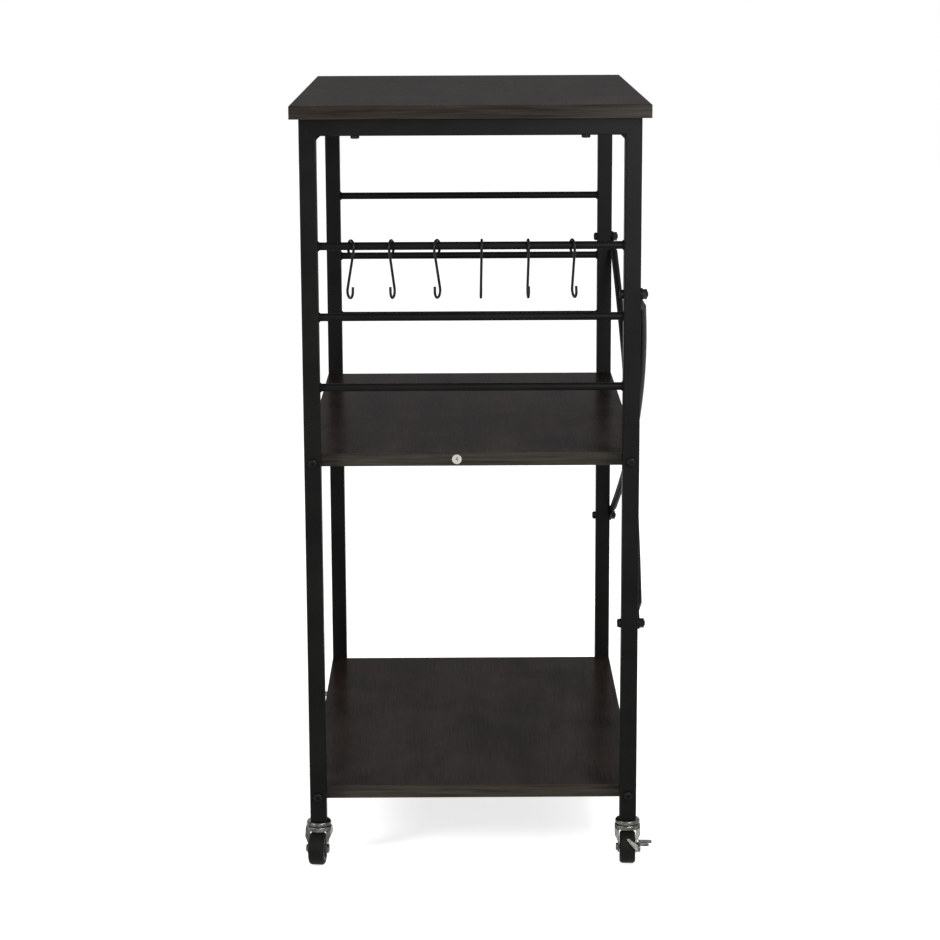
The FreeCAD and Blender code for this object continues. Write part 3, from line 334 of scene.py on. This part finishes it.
class CartSticker(bpy.types.PropertyGroup):
    digit: StringProperty(name="Digit", description="Plain shelf number on the paper dot", default="4")
    digit_height: length("Digit height", "Height of the printed digit", 5.4)
    ink_thickness: length("Ink thickness", "How far the printed digit stands out", 0.02)
    paper: colour("Paper", "Colour of the paper", "#c9c6bc")
    ink: colour("Ink", "Colour of the printed digit", "#4e4b48")


# Finishes.
def board_finish(node, settings):
    # Melamine-faced board: dark wood print under hard resin, pressed with shallow pores. It is matt
    # from above, with a faint even sheen at a low angle, and the plastic edge band has its own streaks.
    low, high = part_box(node)
    material, tree, shader = new_finish("melamine_wood_print_" + node)
    source = add_node(tree, "ShaderNodeTexCoord")
    plain = source.outputs["Object"]
    place = add_node(tree, "ShaderNodeSeparateXYZ", {0: plain})
    facing = add_node(tree, "ShaderNodeSeparateXYZ", {0: source.outputs["Normal"]})
    on_end = maths(tree, "GREATER_THAN", maths(tree, "ABSOLUTE", facing.outputs[1]), 0.5)
    on_face = maths(tree, "GREATER_THAN", maths(tree, "ABSOLUTE", facing.outputs[2]), 0.5)
    # The end bands run across the board, so their grain does too: X and Y change places there.
    turned = add_node(tree, "ShaderNodeCombineXYZ",
                      {0: place.outputs[1], 1: place.outputs[0], 2: place.outputs[2]})
    point = add_node(tree, "ShaderNodeMix", {0: on_end, 4: plain, 5: turned.outputs[0]},
                     data_type="VECTOR").outputs[1]
    lines = noise(tree, point, settings.grain_width, (1.0, 40.0, 1.0), detail=4.0, roughness=0.62,
                  distortion=0.25)
    figure = noise(tree, point, settings.figure_width, (1.0, 14.0, 0.35), detail=2.0, distortion=0.35)
    pores = noise(tree, point, settings.pore_width, (1.0, 22.0, 1.0), detail=1.0)
    patches = noise(tree, plain, settings.patch_width, detail=2.0)
    clouds = noise(tree, plain, settings.cloud_width, (1.0, 1.7, 1.0), detail=3.0, distortion=0.6)
    grain = maths(tree, "MULTIPLY", lines, settings.line_share)
    grain = maths(tree, "MULTIPLY_ADD", figure, settings.figure_share, grain)
    grain = maths(tree, "MULTIPLY_ADD", clouds, settings.cloud_share, grain)
    wood = mixed(tree, spread(tree, grain, 0.5, 0.8), rgba(settings.dark), rgba(settings.light))
    warmth = spread(tree, patches, 0.42, 0.62, to_high=0.45)
    wood = mixed(tree, warmth, wood, rgba(settings.warm))
    streaks = noise(tree, point, settings.streak_width, (1.0, 28.0, 1.0), distortion=0.6)
    band_grain = maths(tree, "MULTIPLY_ADD", streaks, 0.6, maths(tree, "MULTIPLY", lines, 0.4))
    tones = (settings.band_dark, settings.band_light)
    # The shelves take the lighter band tones: painted light on the same edge band.
    if node != "worktop":
        tones = (settings.lit_shelf_band_dark, settings.lit_shelf_band_light)
    band = mixed(tree, spread(tree, band_grain, 0.36, 0.66), rgba(tones[0]), rgba(tones[1]))
    # From above, the band shows as a thin strip with a dark glue line inside it.
    half = (high - low) / 2
    inset = maths(tree, "MINIMUM",
                  maths(tree, "SUBTRACT", half.x, maths(tree, "ABSOLUTE", place.outputs[0])),
                  maths(tree, "SUBTRACT", half.y, maths(tree, "ABSOLUTE", place.outputs[1])))
    strip = maths(tree, "MAXIMUM", maths(tree, "SUBTRACT", 1.0, on_face),
                  maths(tree, "LESS_THAN", inset, settings.band_thickness))
    glue = maths(tree, "COMPARE", inset, settings.band_thickness, settings.glue_width)
    glue = maths(tree, "MULTIPLY", maths(tree, "MULTIPLY", glue, on_face), 0.6)
    tone = mixed(tree, strip, wood, band)
    tone = mixed(tree, glue, tone, GLUE_COLOUR)
    normal = bumped(tree, pores, distance=0.00006, strength=0.35)
    normal = bumped(tree, lines, distance=0.00004, strength=0.25, under=normal)
    fill(tree, shader, {"Base Color": tone, "Normal": normal, "Coat Normal": normal})
    # The sheen comes from the coat alone: a base with gloss of its own reflects far more than the
    # photograph shows at its low angle.
    shader.inputs["Roughness"].default_value = 0.75
    shader.inputs["IOR"].default_value = 1.5
    shader.inputs["Specular IOR Level"].default_value = 0.0
    shader.inputs["Coat Weight"].default_value = 0.1
    shader.inputs["Coat Roughness"].default_value = 0.25
    return material


def coat_finish(settings):
    # Satin black polyester powder coat, sprayed dry and baked on steel: fine orange peel softens
    # its highlights. The front and back mitres are ground flush and show as a thin dark groove.
    material, tree, shader = new_finish("powder_coat_satin_black")
    source = add_node(tree, "ShaderNodeTexCoord")
    point = source.outputs["Object"]
    place = add_node(tree, "ShaderNodeSeparateXYZ", {0: point})
    facing = add_node(tree, "ShaderNodeSeparateXYZ", {0: source.outputs["Normal"]})
    peel = noise(tree, point, settings.peel_size, detail=1.0)
    clouds = noise(tree, point, size=0.06, detail=2.0)
    specks = noise(tree, point, size=0.00045, detail=0.0)
    tone = mixed(tree, spread(tree, clouds, 0.35, 0.65), rgba(settings.coat), rgba(settings.coat_thin))
    rail_low, rail_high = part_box("front_top_rail")
    post_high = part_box("front_right_post")[1]
    side = maths(tree, "ABSOLUTE", place.outputs[0])
    off = maths(tree, "SUBTRACT", maths(tree, "SUBTRACT", side, place.outputs[2]),
                post_high.x - rail_high.z)
    near = maths(tree, "LESS_THAN", maths(tree, "ABSOLUTE", off), settings.seam_width / 2 * math.sqrt(2))
    above = maths(tree, "GREATER_THAN", place.outputs[2], rail_low.z - settings.seam_drop)
    ends = maths(tree, "GREATER_THAN", maths(tree, "ABSOLUTE", facing.outputs[1]), 0.5)
    seam = maths(tree, "MULTIPLY", maths(tree, "MULTIPLY", near, above), ends)
    tone = mixed(tree, seam, tone, SEAM_COLOUR)
    normal = bumped(tree, peel, distance=0.00005, strength=0.5)
    normal = bumped(tree, specks, distance=0.00001, strength=0.3, under=normal)
    rough = spread(tree, clouds, 0.3, 0.7, to_low=0.42, to_high=0.5)
    fill(tree, shader, {"Base Color": tone, "Roughness": rough, "Normal": normal})
    shader.inputs["IOR"].default_value = 1.5
    shader.inputs["Specular IOR Level"].default_value = 0.05
    return material


def black_steel_finish():
    # Black zinc-plated steel, as on socket bolts: a thin dark metal film with grey rubbed highlights.
    material, tree, shader = new_finish("black_zinc_plated_steel")
    point = place_on_piece(tree)
    rubbed = noise(tree, point, size=0.0016, detail=3.0)
    tone = mixed(tree, spread(tree, rubbed, 0.45, 0.75), shade(BLACK_ZINC), shade(RUBBED_ZINC))
    rough = spread(tree, rubbed, 0.3, 0.7, to_low=0.42, to_high=0.58)
    fill(tree, shader, {"Base Color": tone, "Roughness": rough})
    shader.inputs["Metallic"].default_value = 0.85
    fill(tree, shader, {"Normal": bumped(tree, rubbed, distance=0.00003, strength=0.3)})
    return material


def zinc_finish(settings):
    # Bright zinc electroplate with a clear passivate, on pressed sheet: a cool grey mirror, broken by
    # dull patches and the faint pebble that pressing leaves. Both colours are darker than bright zinc:
    # this is painted shade for the darker room it would reflect. The dull patches are partly real
    # dullness and partly painted dark reflections.
    material, tree, shader = new_finish("bright_zinc_plated_steel")
    point = place_on_piece(tree)
    patches = noise(tree, point, size=0.007, detail=4.0, roughness=0.6)
    pebble = noise(tree, point, size=0.0009, detail=2.0)
    tone = mixed(tree, spread(tree, patches, 0.4, 0.65), rgba(settings.zinc), rgba(settings.zinc_dull_and_shaded))
    rough = spread(tree, patches, 0.3, 0.7, to_low=0.2, to_high=0.38)
    fill(tree, shader, {"Base Color": tone, "Roughness": rough})
    shader.inputs["Metallic"].default_value = 1.0
    fill(tree, shader, {"Normal": bumped(tree, pebble, distance=0.00003, strength=0.4)})
    return material


def ball_finish():
    # Hardened bearing steel under a film of grease: a bright mirror with faint smears.
    material, tree, shader = new_finish("greased_bearing_steel")
    point = place_on_piece(tree)
    smear = noise(tree, point, size=0.0011, detail=3.0)
    tone = mixed(tree, spread(tree, smear, 0.4, 0.7), shade(BEARING_STEEL), shade(GREASE_SMEAR))
    rough = spread(tree, smear, 0.3, 0.7, to_low=0.08, to_high=0.25)
    fill(tree, shader, {"Base Color": tone, "Roughness": rough})
    shader.inputs["Metallic"].default_value = 1.0
    return material


def rubber_finish(settings):
    # Solid black rubber, moulded: matt, with grey floor dust rubbed into its fine moulded texture.
    material, tree, shader = new_finish("moulded_black_rubber")
    point = place_on_piece(tree)
    texture = noise(tree, point, size=0.0007, detail=2.0)
    dust = noise(tree, point, size=0.006, detail=4.0, roughness=0.7)
    share = spread(tree, dust, 0.52, 0.72, to_high=0.5)
    tone = mixed(tree, share, rgba(settings.rubber), shade(RUBBER_DUST))
    rough = spread(tree, dust, 0.3, 0.7, to_low=0.55, to_high=0.7)
    fill(tree, shader, {"Base Color": tone, "Roughness": rough})
    fill(tree, shader, {"Normal": bumped(tree, texture, distance=0.00006, strength=0.4)})
    shader.inputs["IOR"].default_value = 1.52
    shader.inputs["Specular IOR Level"].default_value = 0.08
    return material


def nylon_finish(settings):
    # Black polyamide, injection moulded in a spark-eroded mould: an even, slightly waxy low sheen.
    material, tree, shader = new_finish("moulded_black_polyamide")
    point = place_on_piece(tree)
    spark = noise(tree, point, size=0.0005, detail=1.0)
    flow = noise(tree, point, size=0.012, detail=2.0, distortion=1.2)
    tone = mixed(tree, spread(tree, flow, 0.35, 0.7), rgba(settings.nylon), shade(HUB_FLOW))
    rough = spread(tree, flow, 0.3, 0.7, to_low=0.38, to_high=0.5)
    fill(tree, shader, {"Base Color": tone, "Roughness": rough})
    fill(tree, shader, {"Normal": bumped(tree, spark, distance=0.00004, strength=0.35)})
    shader.inputs["IOR"].default_value = 1.53
    shader.inputs["Specular IOR Level"].default_value = 0.25
    return material


def plug_finish():
    # Black low-density polyethylene, moulded: soft, waxy and a little scuffed.
    material, tree, shader = new_finish("moulded_black_polyethylene")
    point = place_on_piece(tree)
    scuff = noise(tree, point, size=0.002, stretch=(1.0, 1.0, 3.0), detail=3.0)
    tone = mixed(tree, spread(tree, scuff, 0.5, 0.75), shade(PLUG_PLASTIC), shade(PLUG_SCUFF))
    rough = spread(tree, scuff, 0.3, 0.7, to_low=0.4, to_high=0.6)
    fill(tree, shader, {"Base Color": tone, "Roughness": rough})
    fill(tree, shader, {"Normal": bumped(tree, scuff, distance=0.00004, strength=0.3)})
    shader.inputs["IOR"].default_value = 1.51
    return material


def hook_finish(settings):
    # Dipped black enamel on drawn wire: smooth and fairly glossy, thicker in soft runs along the wire.
    material, tree, shader = new_finish("dipped_black_enamel")
    point = place_on_piece(tree)
    runs = noise(tree, point, size=0.0022, stretch=(1.0, 1.0, 3.5), detail=2.0)
    tone = mixed(tree, spread(tree, runs, 0.4, 0.7), rgba(settings.paint), shade(PAINT_RUN))
    rough = spread(tree, runs, 0.3, 0.7, to_low=0.34, to_high=0.44)
    fill(tree, shader, {"Base Color": tone, "Roughness": rough})
    fill(tree, shader, {"Normal": bumped(tree, runs, distance=0.00005, strength=0.4)})
    shader.inputs["IOR"].default_value = 1.5
    shader.inputs["Specular IOR Level"].default_value = 0.12
    return material


def paper_finish(settings):
    # Uncoated label paper: matt, with short fibres and slightly grubby patches.
    material, tree, shader = new_finish("uncoated_label_paper")
    point = place_on_piece(tree)
    fibres = noise(tree, point, size=0.00035, stretch=(3.0, 1.0, 1.0), detail=3.0)
    grub = noise(tree, point, size=0.003, detail=2.0)
    share = spread(tree, grub, 0.45, 0.8, to_high=0.35)
    tone = mixed(tree, share, rgba(settings.paper), shade(PAPER_GRUB))
    normal = bumped(tree, fibres, distance=0.00003, strength=0.5)
    fill(tree, shader, {"Base Color": tone, "Normal": normal})
    shader.inputs["Roughness"].default_value = 0.85
    shader.inputs["IOR"].default_value = 1.5
    return material


def ink_finish(settings):
    # Grey printing ink soaked into paper: matt, a little uneven.
    material, tree, shader = new_finish("grey_printing_ink")
    point = place_on_piece(tree)
    soaked = noise(tree, point, size=0.0004, detail=2.0)
    tone = mixed(tree, spread(tree, soaked, 0.4, 0.7), rgba(settings.ink), shade(FADED_INK))
    fill(tree, shader, {"Base Color": tone})
    shader.inputs["Roughness"].default_value = 0.8
    return material


# Operators.
class CART_OT_stage(bpy.types.Operator):
    """White floor and room, four soft lamps and the camera at the photograph's place"""
    bl_idname = "cart.stage"
    bl_label = "Studio"

    def execute(self, context):
        settings = context.scene.cart_studio
        scene = context.scene
        scene.view_settings.view_transform = "Standard"
        self.add_camera(scene, settings)
        lamps = {name: self.add_lamp(scene, name, place, size, getattr(settings, power))
                 for name, (power, place, size) in LAMPS.items()}
        # The front lamp gives highlights only and the back lamp gives none. That serves the match
        # with the photograph, and isn't how real lamps behave.
        lamps["lamp_front"].visible_diffuse = False
        lamps["lamp_back"].visible_glossy = False
        self.light_room(scene, settings)
        self.add_floor(scene, settings)
        return {"FINISHED"}

    def add_camera(self, scene, settings):
        """A camera turned about the upright axis, tipped and leant as the photograph's was."""
        pitch, yaw, roll = settings.camera_pitch, settings.camera_yaw, settings.camera_roll
        ahead = Vector((math.sin(yaw) * math.cos(pitch), math.cos(yaw) * math.cos(pitch),
                        math.sin(pitch)))
        level = Vector((math.cos(yaw), -math.sin(yaw), 0.0))
        upright = level.cross(ahead)
        right = level * math.cos(roll) + upright * math.sin(roll)
        up = upright * math.cos(roll) - level * math.sin(roll)
        data = bpy.data.cameras.new("photo_camera")
        data.lens = settings.focal_length
        data.sensor_width = FILM_WIDTH
        data.clip_end = 100.0
        camera = bpy.data.objects.new("photo_camera", data)
        turn = Matrix((right, up, -ahead)).transposed().to_4x4()
        camera.matrix_world = Matrix.Translation(Vector(settings.camera_place)) @ turn
        scene.collection.objects.link(camera)
        scene.camera = camera

    def add_lamp(self, scene, name, place, size, power):
        """A round soft lamp that points at the middle of the cart."""
        data = bpy.data.lights.new(name, "AREA")
        data.shape = "DISK"
        data.size = size
        data.energy = power
        lamp = bpy.data.objects.new(name, data)
        aim = Vector(LAMP_AIM) - Vector(place)
        lamp.matrix_world = Matrix.Translation(place) @ aim.to_track_quat("-Z", "Y").to_matrix().to_4x4()
        scene.collection.objects.link(lamp)
        return lamp

    def light_room(self, scene, settings):
        """An even white room: plain white to the eye and in reflections, and softer as a lamp."""
        world = bpy.data.worlds.new("white_room")
        world.use_nodes = True
        tree = world.node_tree
        tree.nodes.clear()
        seen = seen_directly(tree)
        strength = spread(tree, seen, 0.0, 1.0, settings.sky, 1.0)
        room = add_node(tree, "ShaderNodeBackground", {"Color": WHITE, "Strength": strength})
        add_node(tree, "ShaderNodeOutputWorld", {"Surface": room.outputs[0]})
        scene.world = world

    def add_floor(self, scene, settings):
        """A round floor. Its paper looks white to the eye and keeps the cart's shadow."""
        radius = settings.floor_radius
        turns = [2 * math.pi * side / FLOOR_SIDES for side in range(FLOOR_SIDES)]
        rim = [(radius * math.cos(turn), radius * math.sin(turn), 0.0) for turn in turns]
        wedges = [(0, 1 + side, 1 + (side + 1) % FLOOR_SIDES) for side in range(FLOOR_SIDES)]
        mesh = bpy.data.meshes.new("studio_floor")
        mesh.from_pydata([(0.0, 0.0, 0.0)] + rim, [], wedges)
        material, tree, shader = new_finish("white_background_paper")
        point = place_on_piece(tree)
        fibre = noise(tree, point, size=0.002, detail=2.0)
        normal = bumped(tree, fibre, distance=0.00005, strength=0.2)
        fill(tree, shader, {"Base Color": rgba(settings.floor_colour), "Normal": normal})
        shader.inputs["Roughness"].default_value = 0.9
        shader.inputs["Emission Color"].default_value = WHITE
        lift = maths(tree, "MULTIPLY", seen_directly(tree), settings.floor_lift)
        fill(tree, shader, {"Emission Strength": lift})
        mesh.materials.append(material)
        floor = bpy.data.objects.new("studio_floor", mesh)
        scene.collection.objects.link(floor)


def seen_directly(tree):
    """One where the camera, a reflection or a view through glass looks, and zero for other light."""
    path = add_node(tree, "ShaderNodeLightPath")
    near = maths(tree, "MAXIMUM", path.outputs["Is Camera Ray"], path.outputs["Is Glossy Ray"])
    return maths(tree, "MAXIMUM", near, path.outputs["Is Transmission Ray"])


class CART_OT_boards(bpy.types.Operator):
    """Wood print and edge band on the worktop and the two shelves"""
    bl_idname = "cart.boards"
    bl_label = "Boards"

    def execute(self, context):
        for node in BOARDS:
            dress([node], board_finish(node, context.scene.cart_boards))
        return {"FINISHED"}


class CART_OT_frame(bpy.types.Operator):
    """Powder coat on the end frames and the brace, and the welds around the twelve rod ends"""
    bl_idname = "cart.frame"
    bl_label = "Steel frame"

    def execute(self, context):
        settings = context.scene.cart_frame
        coat = coat_finish(settings)
        dress(POSTS + RAILS + RODS + BRACE, coat)
        # The rings follow the thinnest rod, and stay well inside the posts' faces.
        radius = (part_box("front_left_post")[1].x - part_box("front_left_post")[0].x) / 4
        points = []
        for rod in RODS:
            low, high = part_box(rod)
            radius = min(radius, (high.z - low.z) / 2)
            middle = (low + high) / 2
            points += [(low.x + settings.bead_inset, middle.y, middle.z),
                       (high.x - settings.bead_inset, middle.y, middle.z)]
        values = {"Weld radius": radius, "Bead width": settings.bead_width, "Ripples": settings.ripples,
                  "Seed": settings.seed}
        grow("rod_welds", points, self.weld_tree(coat), values, "cart")
        return {"FINISHED"}

    def weld_tree(self, coat):
        """A ring of overlapping weld ripples around every point, in the plane across X."""
        kinds = {"Weld radius": "NodeSocketFloat", "Bead width": "NodeSocketFloat",
                 "Ripples": "NodeSocketInt", "Seed": "NodeSocketInt"}
        tree, sizes = new_tree("weld_ripples", kinds)
        ring = add_node(tree, "GeometryNodeCurvePrimitiveCircle",
                        {"Resolution": sizes["Ripples"], "Radius": sizes["Weld radius"]})
        rings = add_node(tree, "GeometryNodeInstanceOnPoints",
                         {"Points": sizes["Points"], "Instance": ring.outputs[0],
                          "Rotation": (0.0, math.pi / 2, 0.0)})
        real = add_node(tree, "GeometryNodeRealizeInstances", {"Geometry": rings.outputs[0]})
        spots = add_node(tree, "GeometryNodeCurveToPoints", {"Curve": real.outputs[0]}, mode="EVALUATED")
        ball = add_node(tree, "GeometryNodeMeshUVSphere", {"Segments": 10, "Rings": 7, "Radius": 0.5})
        flat = add_node(tree, "GeometryNodeTransform",
                        {"Geometry": ball.outputs[0], "Scale": (1.0, 0.8, 1.1)})
        smooth = add_node(tree, "GeometryNodeSetShadeSmooth", {"Geometry": flat.outputs[0]})
        uneven = add_node(tree, "FunctionNodeRandomValue",
                          {"Min": 0.82, "Max": 1.12, "Seed": sizes["Seed"]}, data_type="FLOAT")
        size = maths(tree, "MULTIPLY", uneven.outputs[1], sizes["Bead width"])
        beads = add_node(tree, "GeometryNodeInstanceOnPoints",
                         {"Points": spots.outputs[0], "Instance": smooth.outputs[0],
                          "Rotation": spots.outputs["Rotation"], "Scale": size})
        close_tree(tree, beads.outputs[0], coat)
        return tree


class CART_OT_fasteners(bpy.types.Operator):
    """Finishes of the bolts, nuts, screws and the plugs in the post ends"""
    bl_idname = "cart.fasteners"
    bl_label = "Fasteners"

    def execute(self, context):
        dress(BLACK_FASTENERS, black_steel_finish())
        dress(["post_end_plugs"], plug_finish())
        return {"FINISHED"}


class CART_OT_casters(bpy.types.Operator):
    """Zinc, bearing steel, rubber and polyamide on the casters, and the ribs in the hubs"""
    bl_idname = "cart.casters"
    bl_label = "Casters"

    def execute(self, context):
        settings = context.scene.cart_casters
        zinc = zinc_finish(settings)
        dress(["caster_stems", "caster_upper_races", "shelf_barrel_nuts"], zinc)
        dress(["caster_balls"], ball_finish())
        for corner in CORNERS:
            dress([corner + part for part in ("_fork", "_axle_bolt", "_axle_nut")], zinc)
        for corner in ("front_right", "back_left"):
            dress([corner + "_brake_stud", corner + "_brake_lever"], zinc)
        dress([corner + "_tyre" for corner in CORNERS], rubber_finish(settings))
        nylon = nylon_finish(settings)
        dress([corner + "_hub" for corner in CORNERS], nylon)
        tree = self.rib_tree(nylon)
        for corner in CORNERS:
            self.add_ribs(corner, tree, settings)
        return {"FINISHED"}

    def add_ribs(self, corner, tree, settings):
        """Radial ribs in the recess on both faces of one hub, square to its axle."""
        roll = next(joint for joint in frame["joints"] if joint["name"] == corner + "_roll")
        centre = Vector(roll["pos_m"])
        axle = Vector(roll["axis"])
        turn = math.atan2(axle.y, axle.x)
        values = {"Ribs": settings.rib_count, "Turn": turn, "Ring radius": settings.rib_ring,
                  "Rib length": settings.rib_length, "Rib width": settings.rib_width,
                  "Rib depth": settings.rib_depth, "Reach": settings.rib_reach}
        grow(corner + "_hub_ribs", [tuple(centre)], tree, values, corner + "_wheel")

    def rib_tree(self, nylon):
        """Two rings of small bars around one point, one on each side of the wheel's middle."""
        kinds = {"Ribs": "NodeSocketInt"}
        for label in ("Turn", "Ring radius", "Rib length", "Rib width", "Rib depth", "Reach"):
            kinds[label] = "NodeSocketFloat"
        tree, sizes = new_tree("hub_ribs", kinds)
        ring = add_node(tree, "GeometryNodeCurvePrimitiveCircle",
                        {"Resolution": sizes["Ribs"], "Radius": sizes["Ring radius"]})
        spots = add_node(tree, "GeometryNodeCurveToPoints", {"Curve": ring.outputs[0]}, mode="EVALUATED")
        size = add_node(tree, "ShaderNodeCombineXYZ",
                        {0: sizes["Rib length"], 1: sizes["Rib depth"], 2: sizes["Rib width"]})
        bar = add_node(tree, "GeometryNodeMeshCube", {"Size": size.outputs[0]})
        bars = add_node(tree, "GeometryNodeInstanceOnPoints",
                        {"Points": spots.outputs[0], "Instance": bar.outputs[0],
                         "Rotation": spots.outputs["Rotation"]})
        sides = add_node(tree, "GeometryNodeJoinGeometry")
        for sign in (-1.0, 1.0):
            reach = maths(tree, "MULTIPLY", sizes["Reach"], sign)
            shift = add_node(tree, "ShaderNodeCombineXYZ", {2: reach})
            moved = add_node(tree, "GeometryNodeTransform",
                             {"Geometry": bars.outputs[0], "Translation": shift.outputs[0]})
            tree.links.new(moved.outputs[0], sides.inputs[0])
        upright = add_node(tree, "GeometryNodeTransform",
                           {"Geometry": sides.outputs[0], "Rotation": (0.0, math.pi / 2, 0.0)})
        yaw = add_node(tree, "ShaderNodeCombineXYZ", {2: sizes["Turn"]})
        wheels = add_node(tree, "GeometryNodeInstanceOnPoints",
                          {"Points": sizes["Points"], "Instance": upright.outputs[0],
                           "Rotation": yaw.outputs[0]})
        close_tree(tree, wheels.outputs[0], nylon)
        return tree


class CART_OT_hooks(bpy.types.Operator):
    """Enamel on the six wire hooks"""
    bl_idname = "cart.hooks"
    bl_label = "Hooks"

    def execute(self, context):
        dress(HOOKS, hook_finish(context.scene.cart_hooks))
        return {"FINISHED"}


class CART_OT_sticker(bpy.types.Operator):
    """Paper on the round sticker, and a plain printed shelf number on it"""
    bl_idname = "cart.sticker"
    bl_label = "Sticker"

    def execute(self, context):
        settings = context.scene.cart_sticker
        dress(["shelf_sticker"], paper_finish(settings))
        low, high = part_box("shelf_sticker")
        text = bpy.data.curves.new("shelf_number", "FONT")
        text.body = settings.digit
        text.size = settings.digit_height * TYPE_PER_DIGIT
        text.align_x = "CENTER"
        text.align_y = "CENTER"
        text.extrude = settings.ink_thickness
        maker = bpy.data.objects.new("shelf_number_text", text)
        context.scene.collection.objects.link(maker)
        context.view_layer.update()
        mesh = bpy.data.meshes.new_from_object(maker.evaluated_get(context.evaluated_depsgraph_get()))
        bpy.data.objects.remove(maker)
        middle = (low + high) / 2
        place = Matrix.Translation((middle.x, low.y - settings.ink_thickness, middle.z))
        mesh.transform(place @ Matrix.Rotation(math.pi / 2, 4, "X"))
        mesh.materials.clear()
        mesh.materials.append(ink_finish(settings))
        if not mesh.polygons:
            raise RuntimeError("the shelf number came out empty")
        number = bpy.data.objects.new("shelf_number", mesh)
        context.scene.collection.objects.link(number)
        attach(number, "cart")
        return {"FINISHED"}


class CART_PT_tools(bpy.types.Panel):
    """Lists the dressing steps"""
    bl_idname = "CART_PT_tools"
    bl_label = "Serving Cart"
    bl_space_type = "VIEW_3D"
    bl_region_type = "UI"
    bl_category = "Serving Cart"

    def draw(self, context):
        for operator in OPERATORS:
            self.layout.operator(operator.bl_idname)
        for name in SETTINGS:
            group = getattr(context.scene, name)
            box = self.layout.box()
            for prop in group.bl_rna.properties:
                if not prop.is_readonly and prop.identifier != "name":
                    box.prop(group, prop.identifier)


SETTINGS = {"cart_studio": CartStudio, "cart_boards": CartBoards, "cart_frame": CartFrame,
            "cart_casters": CartCasters, "cart_hooks": CartHooks, "cart_sticker": CartSticker}
OPERATORS = (CART_OT_stage, CART_OT_boards, CART_OT_frame, CART_OT_fasteners, CART_OT_casters,
             CART_OT_hooks, CART_OT_sticker)


def register():
    for name, group in SETTINGS.items():
        bpy.utils.register_class(group)
        setattr(bpy.types.Scene, name, PointerProperty(type=group))
    for item in OPERATORS + (CART_PT_tools,):
        bpy.utils.register_class(item)


def unregister():
    for item in reversed(OPERATORS + (CART_PT_tools,)):
        bpy.utils.unregister_class(item)
    for name, group in reversed(list(SETTINGS.items())):
        delattr(bpy.types.Scene, name)
        bpy.utils.unregister_class(group)


def main():
    register()
    bpy.ops.cart.stage()
    bpy.ops.cart.boards()
    bpy.ops.cart.frame()
    bpy.ops.cart.fasteners()
    bpy.ops.cart.casters()
    bpy.ops.cart.hooks()
    bpy.ops.cart.sticker()


if __name__ == "__main__":
    main()
